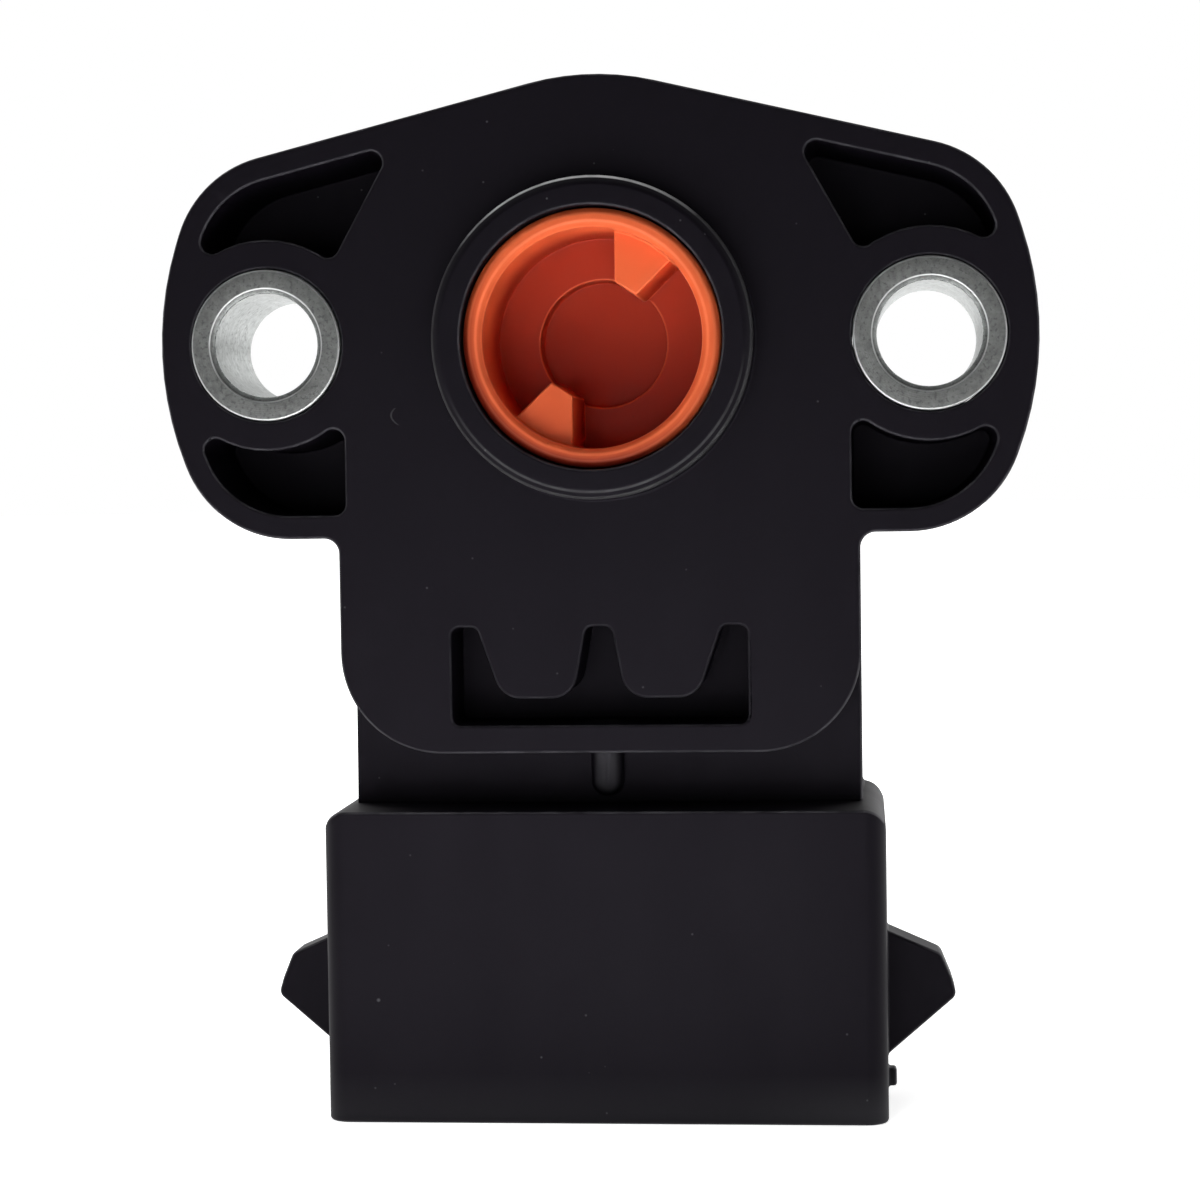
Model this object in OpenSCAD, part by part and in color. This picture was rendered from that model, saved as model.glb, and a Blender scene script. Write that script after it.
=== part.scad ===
// Throttle position sensor: a moulded housing that bolts to a throttle body by two metal
// sleeves, a sprung rotor that the throttle shaft turns, and a plug shroud below.
// Each module draws in the face frame: x to the right, y up, z out of the face and towards
// the throttle body. place() turns that into the part's own frame, where the face looks
// along -Y and the origin is on the rotor's axis, in the plane that the sleeves seat on.

/* [Mounting] */
// Distance between the axes of the two mounting sleeves
hole_pitch = 35; // [33:0.5:44]
// Bore of a mounting sleeve
sleeve_bore_d = 5.5; // [4.5:0.1:6.2]
// Outer diameter of a mounting sleeve
sleeve_d = 8; // [7:0.1:9]
// How far a sleeve stands out of the plastic at each end
sleeve_proud = 0.15; // [0.05:0.05:0.4]
// Chamfer round each mouth of a sleeve's bore
sleeve_chamfer = 0.25; // [0.1:0.05:0.4]

/* [Flange] */
// Radius of the flange's rounded top, about the rotor's axis
crown_r = 13.85; // [13.6:0.1:17]
// Slope of the flange's two upper edges, in degrees
crown_slope = 13.7; // [8:0.1:18]
// From a sleeve's axis out to the corner of the ear's shoulder
shoulder_out = 3.6; // [3:0.1:5]
// Radius of the ear's shoulder
shoulder_r = 6; // [4:0.1:7]
// From a sleeve's axis out to the corner of the ear's bulging side
ear_out = 6.7; // [6:0.05:8]
// Drop of that side corner below the sleeves' axes
ear_side_drop = 0.5; // [0:0.05:2]
// Radius of the ear's bulging side
ear_side_r = 17.6; // [14:0.1:22]
// From a sleeve's axis out to the corner under the ear
ear_corner_out = 3; // [2.5:0.05:4.5]
// Radius of the corner under the ear
ear_corner_r = 6; // [3:0.1:6.5]
// From the sleeves' axes down to the straight lower edge of the ears
ear_drop = 10.3; // [9.5:0.05:12]
// Thickness of the flange at the ears
ear_t = 9; // [8:0.1:11]
// Radius of the inner corner between an ear and the plate
notch_r = 0.8; // [0.3:0.1:1.5]

/* [Face plate] */
// Width of the plate below the ears, and of the body behind it
plate_w = 27.6; // [26:0.1:30]
// Thickness of the plate in front of the body
plate_t = 4.5; // [3.5:0.1:5.5]
// From the rotor's axis down to the plate's lower edge
plate_drop = 21.8; // [21.2:0.1:23]
// Radius of the plate's lower corners
plate_corner_r = 5.4; // [3:0.1:7]

/* [Ear pockets] */
// Wall left between a pocket and the flange's edge
pocket_rim = 1.25; // [0.8:0.05:2]
// Wall left round a mounting sleeve
pocket_hub_wall = 1.6; // [1:0.1:2]
// Depth of the pockets
pocket_depth = 7.2; // [4:0.1:7.5]
// From a sleeve's axis in to the foot of an upper pocket's slanted side
upper_pocket_in = 3.7; // [3:0.1:4.5]
// Height of that foot above the sleeves' axes
upper_pocket_foot = 4.5; // [3.5:0.1:6]
// Lean of that side from upright, in degrees
upper_pocket_lean = 29; // [10:1:40]
// From a sleeve's axis in to the upright side of a lower pocket
lower_pocket_in = 4.1; // [3:0.1:4.5]
// Radius of the pockets' corners
pocket_r = 0.6; // [0.2:0.1:0.9]

/* [Comb recess] */
// Width of the recess in the plate
comb_w = 15.7; // [14:0.1:18]
// From the rotor's axis down to the top of the recess
comb_top = 15.1; // [14.5:0.1:16]
// From the rotor's axis down to the bottom of the recess
comb_bottom = 20.3; // [20:0.1:20.8]
// Width of the slots beside the two hanging teeth
comb_slot_w = 1.35; // [0.8:0.1:2]
// Width of a tooth at its tip
comb_tip_w = 3.8; // [2.8:0.1:4.5]
// How far a tooth's tip lies nearer to the middle than its root
comb_tip_shift = 0.3; // [0:0.05:0.5]
// Length of a tooth
comb_tooth_l = 3.8; // [2.5:0.1:4.4]
// Radius of a tooth's two corners
comb_tip_r = 1.4; // [0.3:0.1:1.4]
// Radius of the recess's other corners
comb_corner_r = 0.45; // [0.1:0.05:0.6]

/* [Body] */
// Depth of the body's back behind the face
body_depth = 17; // [16.8:0.1:20]
// Thickness of the body's side walls
wall = 1.8; // [1.2:0.1:2]
// Thickness of the body's front wall behind the plate
front_wall = 1.8; // [1.2:0.1:2]
// Width of the soft rib on the neck
rib_w = 1.8; // [1:0.1:3]
// Length of that rib, with its round end
rib_l = 2.8; // [1:0.1:3]
// From the rotor's axis down to the top of the wide neck
neck_top = 5.7; // [5:0.1:6.5]
// Width of the step that the back cover sits on
cover_step = 0.9; // [0.6:0.05:1]

/* [Pilot boss] */
// Diameter of the boss round the rotor, which locates in the throttle body
boss_d = 16.8; // [16.2:0.1:20]
// Height of the boss above the face
boss_h = 2.2; // [1.5:0.1:4]
// Chamfer round the boss's end
boss_chamfer = 0.4; // [0.1:0.1:0.6]

/* [Rotor] */
// Diameter of the rotor's barrel
barrel_d = 13.5; // [12.8:0.1:14.5]
// Height of the rotor's rim above the face
rim_h = 1.7; // [0.5:0.1:2.1]
// Rounding of the rim's outer edge, as a chamfer
rim_edge = 0.3; // [0.1:0.05:0.4]
// Diameter of the cup that takes the throttle shaft
cup_d = 11.5; // [10:0.1:12]
// Depth of the cup's floor below the rim
cup_depth = 7.3; // [5:0.1:8]
// Diameter of the round recess in the cup's floor
recess_d = 6.9; // [4:0.1:8]
// Depth of that recess
recess_depth = 1.6; // [0.5:0.1:2]
// Depth of the two driving lugs' ends below the rim
lug_drop = 1.25; // [0.5:0.05:4]
// Distance from the rotor's centre plane to a lug's upright side
lug_side = 1.15; // [0.8:0.05:2]
// Distance from the rotor's axis to a lug's inner end
lug_reach = 3.1; // [2.8:0.1:4]
// Angle of a lug's slanted side, in degrees
lug_slant = 43.7; // [35:0.1:55]
// Offset of that side from the rotor's axis
lug_offset = 0.05; // [0:0.01:0.3]
// Direction of a lug's flat inner end from the rotor's axis, in degrees
lug_face = 56.3; // [50:0.1:65]
// How far the rotor's disc reaches beyond the spring's coils
disc_over = 0.6; // [0.4:0.1:1.2]
// Thickness of the rotor's disc
disc_t = 1.5; // [1:0.1:2]
// Length of the shoulder that the return spring winds round
mandrel_l = 2.8; // [2.6:0.1:4]
// How far the shoulder stands out beyond the barrel
mandrel_step = 0.65; // [0.4:0.05:0.7]
// Diameter of the rotor's rear pivot
pivot_d = 3.2; // [2.5:0.1:4]
// Diameter of the hub between the disc and the pivot
hub_d = 5.2; // [4.6:0.1:6]
// Length of that hub
hub_l = 2.2; // [2.1:0.1:3]
// Length of the rear pivot beyond the hub
pivot_l = 2.6; // [2:0.1:2.8]

/* [Travel] */
// Angle that the rotor turns through, in degrees
travel = 105; // [85:1:120]
// Angular width of the rotor's stop tab, in degrees
tab_angle = 12; // [8:1:20]
// Angular width of a stop in the housing, in degrees
stop_angle = 9; // [5:1:15]
// Angle left between the tab and a stop at each end of the travel, in degrees
stop_play = 1.2; // [0.5:0.1:3]
// How far the tab stands out beyond the disc
tab_out = 0.9; // [0.6:0.05:1]

/* [Return spring] */
// Thickness of the spring's wire
wire_d = 0.6; // [0.4:0.05:0.7]
// Gap between the shoulder and the spring's coils
coil_gap = 0.7; // [0.4:0.1:0.9]
// Number of turns
coil_turns = 2.5; // [1.5:0.5:2.5]
// Rise of the coil in each turn
coil_pitch = 0.8; // [0.75:0.05:0.9]
// Length of the spring's straight ends
coil_leg = 1; // [0.6:0.1:1.2]

/* [Wiper] */
// Thickness of the wiper's sheet metal
wiper_t = 0.3; // [0.2:0.05:0.4]
// Width of a contact finger
finger_w = 1; // [0.6:0.1:1.3]
// Length of a contact finger
finger_l = 4.6; // [3.5:0.1:5.5]
// Length of the wiper's plate
plate_l = 2.5; // [2:0.1:2.8]
// How far the plate leans in towards the rotor's axis over its length
plate_skew = 1.2; // [0.8:0.1:1.6]
// Diameter of the rotor's stakes that hold the wiper
stake_d = 0.9; // [0.6:0.1:1]

/* [Resistor board] */
// Thickness of the ceramic board
board_t = 1; // [0.6:0.1:1.2]
// Gap between the rotor's disc and the board
board_gap = 1.3; // [1.2:0.1:2]
// Diameter of the hole in the board
board_hole_d = 8; // [7.4:0.1:9]
// Width of the ledge in the housing that the board lies on
ledge_w = 1.1; // [0.7:0.1:1.5]
// Thickness of the printed tracks
film_t = 0.08; // [0.05:0.01:0.12]
// From the edge of the rotor's disc in to the middle of the resistor track
track_in = 0.6; // [0.5:0.1:0.8]
// From there in to the middle of the collector track
track_space = 2.4; // [2.2:0.1:2.6]
// Width of each track
track_w = 1.4; // [1:0.1:1.7]
// Angle of the resistor track's ends below the horizontal, in degrees
track_dip = 47; // [40:1:52]
// Width of a printed conductor
trace_w = 1.2; // [0.8:0.1:1.6]
// Height of a contact pad
pad_h = 2.4; // [1.8:0.1:3]

/* [Terminals] */
// Distance between neighbouring terminals
terminal_pitch = 6.8; // [6:0.1:7.5]
// Width of a terminal's blade
blade_w = 2.8; // [2:0.1:3.2]
// Thickness of a terminal
blade_t = 0.8; // [0.6:0.05:1]
// Length of a blade inside the shroud
blade_l = 9.4; // [8:0.1:12]
// Length of the taper at a blade's tip
blade_taper = 1; // [0.5:0.1:1.5]
// Width of a terminal's tail
tail_w = 1.6; // [1.2:0.1:1.9]
// Length of a tail inside the body
tail_l = 2.6; // [2:0.1:3]
// From a tail's end up to the top of its contact pad
pad_rise = 3; // [2.8:0.1:3.5]
// Width of a contact spring
contact_w = 1.8; // [1.2:0.1:2.4]
// Thickness of a contact spring's strip
contact_t = 0.25; // [0.2:0.05:0.35]

/* [Plug shroud] */
// Width of the plug shroud
shroud_w = 30; // [28:0.1:32]
// Depth of the shroud from front to back
shroud_depth = 15; // [13:0.1:16.5]
// From the rotor's axis down to the shroud's top
shroud_top = 24.9; // [24.5:0.1:26]
// From the rotor's axis down to the shroud's mouth
shroud_mouth = 41.6; // [40.5:0.1:46]
// Thickness of the shroud's four walls
shroud_wall = 1.8; // [1.2:0.1:2.2]
// Thickness of the shroud's top beside the neck
shroud_floor = 1.85; // [1.4:0.05:2.5]
// Thickness of the wall between the body's room and the plug's room
partition_t = 4.1; // [3.5:0.1:5]
// Radius of the shroud's upright edges and top corners
shroud_r = 1.2; // [0.5:0.1:1.5]
// Width of a wedge's foot on the shroud, from front to back
wedge_w = 2.6; // [2:0.1:7]
// How far a latching wedge stands out from the shroud
wedge_out = 3.8; // [2:0.1:4.2]
// From the shroud's top down to a wedge's tip
wedge_drop = 10.9; // [8:0.1:11.5]
// From a wedge's tip up to its root
wedge_up = 3.6; // [2:0.1:4]
// From a wedge's tip down to its lower root
wedge_down = 3.3; // [3:0.1:5]
// Size of the small square stud below each wedge
stud_w = 1; // [0.5:0.1:1.5]
// How far that stud stands out
stud_out = 0.5; // [0.2:0.1:0.6]
// From the stud down to the shroud's mouth
stud_gap = 0.6; // [0.3:0.1:1]

/* [Back cover] */
// Thickness of the back cover
cover_t = 2; // [1.6:0.1:2.2]
// Width of the groove round the cover that the sealant fills
groove_w = 1.1; // [0.8:0.1:1.4]
// Depth of that groove
groove_depth = 1; // [0.6:0.1:1.2]
// Outer diameter of the cover's bearing boss
bearing_d = 6.8; // [6:0.1:7.2]
// Diameter of the cover's two posts behind the board
post_d = 2.4; // [1.5:0.1:3]
// Thickness of the thrust washer
washer_t = 0.3; // [0.2:0.05:0.4]

/* [Clearances] */
// Running clearance round the barrel and the pivot, on the radius
run_gap = 0.08; // [0.04:0.01:0.1]
// Clearance round parts that are fitted into the moulding
fit_gap = 0.04; // [0.02:0.01:0.08]
// Clearance of parts that drop into place
loose_gap = 0.15; // [0.1:0.05:0.2]
// End play of the rotor at each thrust face
end_play = 0.1; // [0.05:0.05:0.2]

/* [Hidden] */
$fn = 96;
// A cut runs this far past the surface that it opens
cut = 1;
// A solid that joins another sinks this far into it
sink = 0.5;

sleeve_x = hole_pitch / 2;
plate_half = plate_w / 2;
crown_top = crown_r / cos(crown_slope);

// Depths behind the face, from front to back
seat_z = sleeve_proud;
chamber_front = plate_t + front_wall;
mandrel_front = chamber_front + end_play;
disc_front = mandrel_front + mandrel_l;
disc_back = disc_front + disc_t;
board_front = disc_back + board_gap;
board_back = board_front + board_t;
hub_back = disc_back + hub_l;
bearing_front = hub_back + washer_t + 2 * end_play;
pivot_back = hub_back + pivot_l;
cover_front = body_depth - cover_t;

// Radii about the rotor's axis
barrel_r = barrel_d / 2;
mandrel_r = barrel_r + mandrel_step;
coil_r = mandrel_r + coil_gap + wire_d / 2;
disc_r = coil_r + wire_d / 2 + disc_over;
tab_r = disc_r + tab_out;
stop_inner_r = disc_r + 2 * loose_gap;
chamber_r = tab_r + 2 * loose_gap;
body_r = chamber_r + wall;
board_r = chamber_r - 1.5 * loose_gap;
track_r = disc_r - track_in;
collector_r = track_r - track_space;
bay_half = plate_half - wall;
board_half = bay_half - loose_gap;
ledge_half = bay_half - ledge_w;

// Heights below the rotor's axis
cavity_top = shroud_top + shroud_floor;
bay_bottom = cavity_top - partition_t;
bay_top = neck_top + wall;
ledge_bottom = bay_bottom - ledge_w;
board_bottom = bay_bottom - loose_gap;
tail_top = bay_bottom - tail_l;
shoulder_y = (bay_bottom + cavity_top) / 2;
pad_top = tail_top - pad_rise;
terminal_z = -shroud_depth / 2;
terminal_x = [-terminal_pitch, 0, terminal_pitch];

// The seal's groove in the housing, round the barrel
seal_d = 1.2;
seal_r = barrel_r + fit_gap + seal_d / 2;
seal_z = -chamber_front / 2;

plastic = [0.13, 0.125, 0.14];
cover_plastic = [0.11, 0.11, 0.12];
orange = [0.9, 0.36, 0.18];
steel = [0.62, 0.63, 0.62];
brass = [0.8, 0.68, 0.4];

// The part's own frame from the face frame
module place() {
    translate([0, seat_z, 0]) rotate([90, 0, 0]) children();
}

// A prism of the outline below, from the depth z_back up to z_front
module slab(z_back, z_front) {
    translate([0, 0, z_back]) linear_extrude(z_front - z_back) children();
}

// A ring or, with no inner radius, a disc between two depths
module ring(r_out, r_in, z_back, z_front) {
    difference() {
        translate([0, 0, z_back]) cylinder(r = r_out, h = z_front - z_back);
        if (r_in > 0)
            translate([0, 0, z_back - cut]) cylinder(r = r_in, h = z_front - z_back + 2 * cut);
    }
}

// Both sides of what is drawn on the right
module both_sides() {
    children();
    mirror([1, 0, 0]) children();
}

function unit(v) = v / norm(v);
function turn_left(v) = [-v[1], v[0]];
function at(list, i) = list[(i + len(list)) % len(list)];
function xy(p) = [p[0], p[1]];
function cross2(a, b) = a[0] * b[1] - a[1] * b[0];
function mirrored(points) = [for (i = [len(points) - 1:-1:0])
    [-points[i][0], points[i][1], points[i][2]]];

// The arc that rounds corner b, between a and c, to radius r. Its steps are about 8 degrees,
// or 4 on a large radius
function corner(a, b, c, r) =
    let (u = unit(a - b), v = unit(c - b), half = acos(u * v) / 2)
    r <= 0 || half > 89.9 ? [b] :
    let (middle = b + unit(u + v) * r / sin(half),
         p = b + u * r / tan(half) - middle,
         q = b + v * r / tan(half) - middle,
         swing = 180 - 2 * half,
         way = cross2(p, q) < 0 ? -1 : 1,
         steps = max(1, round(swing / (r > 2 ? 4 : 8))),
         start = atan2(p[1], p[0]))
    [for (i = [0:steps]) middle + r * [cos(start + way * swing * i / steps),
                                       sin(start + way * swing * i / steps)]];

// Corners are [x, y, radius]. A corner's arc starts this far from it along each side
function arc_reach(c, i) =
    let (p = xy(at(c, i)), u = unit(xy(at(c, i - 1)) - p), v = unit(xy(at(c, i + 1)) - p))
    at(c, i)[2] / tan(acos(u * v) / 2);

// Where the side after corner i is too short for its two arcs, both shrink by this
function side_share(c, i) =
    let (used = arc_reach(c, i) + arc_reach(c, i + 1),
         length = norm(xy(at(c, i + 1)) - xy(at(c, i))))
    used > 0.99 * length ? 0.99 * length / used : 1;

// The outline is the list of points round all the corners
function rounded(c) = [for (i = [0:len(c) - 1])
    each corner(xy(at(c, i - 1)), xy(c[i]), xy(at(c, i + 1)),
                c[i][2] * min(side_share(c, i), side_share(c, i - 1)))];

// The same corners, listed anticlockwise, moved inwards by d
function inset(c, d) = [for (i = [0:len(c) - 1])
    let (p = xy(c[i]), before = unit(p - xy(at(c, i - 1))), after = unit(xy(at(c, i + 1)) - p),
         a = p + turn_left(before) * d, b = p + turn_left(after) * d,
         turned = cross2(before, after),
         q = abs(turned) < 0.001 ? a : a + before * cross2(b - a, after) / turned)
    [q[0], q[1], max(0, c[i][2] + (turned > 0 ? -d : d))]];

// Points round a circle's arc
function arc(r, from, to, step = 5) =
    let (n = max(1, ceil(abs(to - from) / step)))
    [for (i = [0:n]) r * [cos(from + (to - from) * i / n), sin(from + (to - from) * i / n)]];

// A sector of a ring
module sector(r_out, r_in, from, to) {
    polygon(concat(arc(r_out, from, to), arc(r_in, to, from)));
}

// The right half of the flange, from the corner below the ear up to the crown
flange_side = [
    [sleeve_x + ear_corner_out, -ear_drop, ear_corner_r],
    [sleeve_x + ear_out, -ear_side_drop, ear_side_r],
    [sleeve_x + shoulder_out, crown_top - tan(crown_slope) * (sleeve_x + shoulder_out), shoulder_r]
];
crown = [[0, crown_top, crown_r]];
flange_corners = concat(flange_side, crown, mirrored(flange_side));
plate_side = [[plate_half, -plate_drop, plate_corner_r], [plate_half, -ear_drop, notch_r]];
face_corners = concat(plate_side, flange_side, crown, mirrored(flange_side),
                      mirrored(plate_side));

module face_outline() polygon(rounded(face_corners));

// The ears' outline, down to the end of the inner corners below them
module flange_outline() {
    intersection() {
        face_outline();
        translate([-hole_pitch, -ear_drop - notch_r]) square(2 * hole_pitch);
    }
}

// The region of one upper pocket and one lower pocket, on the right
module pocket_region() {
    top = crown_top;
    foot_x = sleeve_x - upper_pocket_in;
    lean = tan(upper_pocket_lean);
    reach = sleeve_x + 2 * ear_out;
    polygon([[foot_x + lean * upper_pocket_foot, 0], [foot_x - lean * (top - upper_pocket_foot), top],
             [reach, top], [reach, 0]]);
    translate([sleeve_x - lower_pocket_in, -2 * ear_drop]) square([reach, 2 * ear_drop]);
}

module pocket_outline() {
    offset(r = pocket_r, $fn = 48) offset(delta = -pocket_r) difference() {
        intersection() {
            polygon(rounded(inset(flange_corners, pocket_rim)));
            pocket_region();
        }
        translate([sleeve_x, 0]) circle(r = sleeve_d / 2 + pocket_hub_wall);
    }
}

// The recess with two hanging teeth
comb_half = comb_w / 2;
tooth_mid = (comb_half - comb_slot_w / 2) / 2 - comb_tip_shift;
comb_side = [
    [comb_half, -comb_bottom, comb_corner_r],
    [comb_half, -comb_top, comb_corner_r],
    [comb_half - comb_slot_w, -comb_top, comb_corner_r],
    [tooth_mid + comb_tip_w / 2, -comb_top - comb_tooth_l, comb_tip_r],
    [tooth_mid - comb_tip_w / 2, -comb_top - comb_tooth_l, comb_tip_r],
    [comb_slot_w / 2, -comb_top, comb_corner_r]
];
module comb_outline() polygon(rounded(concat(comb_side, mirrored(comb_side))));

// The chamber's outline behind the ledge, made larger all round by grow
module chamber_outline(grow = 0) {
    circle(r = chamber_r + grow);
    translate([-bay_half - grow, -bay_bottom - grow])
        square([2 * (bay_half + grow), bay_bottom - bay_top + 2 * grow]);
}

// The middle of the tab's travel points straight up, so the tab starts half the travel before
tab_rest = 90 + travel / 2;
stop_edge = travel / 2 + tab_angle / 2 + stop_play;

// The round end's centre, below the plate's edge
rib_end = max(0.1, rib_l - rib_w / 2);

module wedge() {
    tip_y = -shroud_top - wedge_drop;
    half = shroud_w / 2;
    profile = rounded([
        [half - sink, tip_y + wedge_up, 0],
        [half - sink, tip_y - wedge_down, 0],
        [half, tip_y - wedge_down, 0],
        [half + wedge_out, tip_y, 0.5],
        [half + wedge_out * 0.93, tip_y + wedge_up * 0.25, 0.6],
        [half + wedge_out * 0.78, tip_y + wedge_up * 0.64, 0.6],
        [half, tip_y + wedge_up, 0]
    ]);
    slab(terminal_z - wedge_w / 2, terminal_z + wedge_w / 2) polygon(profile);
    translate([half - sink, -shroud_mouth + stud_gap, terminal_z - stud_w / 2])
        cube([stud_out + sink, stud_w, stud_w]);
}

module shroud_block() {
    half = shroud_w / 2;
    front = rounded([[-half, -shroud_mouth, 0], [half, -shroud_mouth, 0],
                     [half, -shroud_top, shroud_r], [-half, -shroud_top, shroud_r]]);
    plan = rounded([[-half, -shroud_depth, shroud_r], [half, -shroud_depth, shroud_r],
                    [half, 0, shroud_r], [-half, 0, shroud_r]]);
    intersection() {
        slab(-shroud_depth - cut, cut) polygon(front);
        translate([0, -shroud_top + cut, 0]) rotate([90, 0, 0])
            linear_extrude(shroud_mouth - shroud_top + 2 * cut) polygon([for (p = plan) [p[0], p[1]]]);
    }
}

// What the housing is outside, before it is hollowed
module housing_block() {
    slab(-plate_t, 0) face_outline();
    slab(-ear_t, -plate_t / 2) flange_outline();
    translate([0, 0, -body_depth]) cylinder(r = body_r, h = body_depth - plate_t + sink);
    translate([-plate_half, -shroud_top - sink, -body_depth])
        cube([plate_w, shroud_top + sink - neck_top, body_depth - plate_t]);
    translate([-plate_half, -plate_drop + plate_corner_r, -body_depth])
        cube([plate_w, plate_drop - plate_corner_r - neck_top, body_depth - plate_t + sink]);
    translate([0, 0, -sink]) cylinder(r = boss_d / 2, h = sink + boss_h - boss_chamfer);
    translate([0, 0, boss_h - boss_chamfer])
        cylinder(r1 = boss_d / 2, r2 = boss_d / 2 - boss_chamfer, h = boss_chamfer);
    translate([0, -plate_drop, -plate_t]) {
        rotate([90, 0, 0]) translate([0, 0, -sink]) cylinder(r = rib_w / 2, h = sink + rib_end);
        translate([0, -rib_end, 0]) sphere(r = rib_w / 2);
    }
    shroud_block();
    both_sides() wedge();
}

// A terminal's slot through the wall between the body and the plug shroud
module terminal_slot() {
    translate([0, 0, terminal_z]) {
        translate([-blade_w / 2 - fit_gap, -cavity_top - cut, -blade_t / 2 - fit_gap])
            cube([blade_w + 2 * fit_gap, cavity_top + cut - shoulder_y + fit_gap,
                  blade_t + 2 * fit_gap]);
        translate([-tail_w / 2 - fit_gap, -shoulder_y, -blade_t / 2 - fit_gap])
            cube([tail_w + 2 * fit_gap, shoulder_y - ledge_bottom + cut, blade_t + 2 * fit_gap]);
    }
}

module housing() color(plastic) place() {
    difference() {
        housing_block();
        translate([0, 0, -chamber_front - cut])
            cylinder(r = barrel_r + run_gap, h = chamber_front + boss_h + 2 * cut);
        ring(seal_r + seal_d / 2 + fit_gap, 0, seal_z - seal_d / 2 - fit_gap,
             seal_z + seal_d / 2 + fit_gap);
        translate([0, 0, -body_depth - cut])
            cylinder(r = chamber_r, h = body_depth + cut - chamber_front);
        translate([-ledge_half, -ledge_bottom, -body_depth - cut])
            cube([2 * ledge_half, ledge_bottom - bay_top, body_depth + cut - chamber_front]);
        slab(-body_depth - cut, -board_front) chamber_outline();
        slab(-body_depth - cut, -cover_front) chamber_outline(cover_step);
        slab(-plate_t, cut) comb_outline();
        both_sides() {
            slab(-pocket_depth, cut) pocket_outline();
            translate([sleeve_x, 0, -ear_t - cut])
                cylinder(r = sleeve_d / 2 + fit_gap, h = ear_t + 2 * cut);
        }
        translate([-shroud_w / 2 + shroud_wall, -shroud_mouth - cut, -shroud_depth + shroud_wall])
            cube([shroud_w - 2 * shroud_wall, shroud_mouth + cut - cavity_top,
                  shroud_depth - 2 * shroud_wall]);
        for (x = terminal_x) translate([x, 0, 0]) terminal_slot();
        rotate([0, 0, spring_front_angle]) translate([coil_r, 0, -chamber_front - cut])
            cylinder(r = wire_d / 2 + loose_gap, h = coil_leg + cut + 2 * loose_gap);
    }
    for (side = [0, 1]) mirror([side, 0, 0])
        slab(-disc_back, -chamber_front + sink)
            sector(chamber_r + sink, stop_inner_r, 90 + stop_edge, 90 + stop_edge + stop_angle);
}

module mounting_sleeve(x) color(steel) place() {
    r = sleeve_bore_d / 2;
    half = ear_t / 2 + sleeve_proud;
    translate([x, 0, -ear_t / 2]) difference() {
        cylinder(r = sleeve_d / 2, h = 2 * half, center = true);
        cylinder(r = r, h = 2 * half + 2 * cut, center = true);
        for (end = [0, 1]) mirror([0, 0, end]) translate([0, 0, half - sleeve_chamfer])
            cylinder(r1 = r, r2 = r + sleeve_chamfer + cut, h = sleeve_chamfer + cut);
    }
}
module mounting_sleeve_left() mounting_sleeve(-sleeve_x);
module mounting_sleeve_right() mounting_sleeve(sleeve_x);

// One driving lug in plan: an upright side, a slanted side and a flat inner end
module lug_outline() {
    far = barrel_r;
    slant = [cos(lug_slant), sin(lug_slant)];
    normal = [-slant[1], slant[0]];
    intersection() {
        translate([lug_side, 0]) square([far, far]);
        polygon([normal * lug_offset, slant * 2 * far + normal * lug_offset,
                 [0, 2 * far], [0, 0]]);
        rotate(lug_face) translate([lug_reach, -far]) square([far, 2 * far]);
        circle(r = (cup_d / 2 + barrel_r) / 2);
    }
}

module rotor() color(orange) place() {
    difference() {
        union() {
            translate([0, 0, -disc_front - sink])
                cylinder(r = barrel_r, h = disc_front + sink + rim_h - rim_edge);
            translate([0, 0, rim_h - rim_edge])
                cylinder(r1 = barrel_r, r2 = barrel_r - rim_edge, h = rim_edge);
            ring(mandrel_r, 0, -disc_front - sink, -mandrel_front);
            ring(disc_r, 0, -disc_back, -disc_front);
            slab(-disc_back, -disc_front)
                sector(tab_r, disc_r - sink, tab_rest - tab_angle / 2, tab_rest + tab_angle / 2);
            ring(hub_d / 2, 0, -hub_back, -disc_back + sink);
            ring(pivot_d / 2, 0, -pivot_back, -disc_back + sink);
            rotate([0, 0, tab_rest]) for (p = stake_points)
                translate([p[0], p[1], plate_back - stake_d / 4])
                    cylinder(r = stake_d / 2, h = wiper_t + stake_d / 4 + sink, $fn = 48);
        }
        translate([0, 0, rim_h - cup_depth]) cylinder(r = cup_d / 2, h = cup_depth + cut);
        translate([0, 0, rim_h - rim_edge])
            cylinder(r1 = cup_d / 2, r2 = cup_d / 2 + rim_edge + cut, h = rim_edge + cut);
        translate([0, 0, rim_h - cup_depth - recess_depth])
            cylinder(r = recess_d / 2, h = recess_depth + cut);
        rotate([0, 0, spring_back_angle]) translate([coil_r, 0, -disc_front - coil_leg - loose_gap])
            cylinder(r = wire_d / 2 + loose_gap, h = coil_leg + loose_gap + cut);
    }
    for (side = [0, 180]) rotate([0, 0, side])
        slab(rim_h - cup_depth - sink, rim_h - lug_drop) lug_outline();
}

module rotor_seal() color([0.1, 0.1, 0.1]) place() {
    translate([0, 0, seal_z]) rotate_extrude() translate([seal_r, 0]) circle(r = seal_d / 2, $fn = 32);
}

// The coil lies between the housing's front wall and the disc, with a leg into each
coil_room = disc_front - chamber_front;
coil_rise = coil_turns * coil_pitch;
coil_front = -chamber_front - (coil_room - coil_rise) / 2;
spring_front_angle = 200;
spring_back_angle = spring_front_angle - 360 * coil_turns;
wire_sides = 8;
coil_steps = 24;
leg_bend = wire_d / 2;

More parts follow.
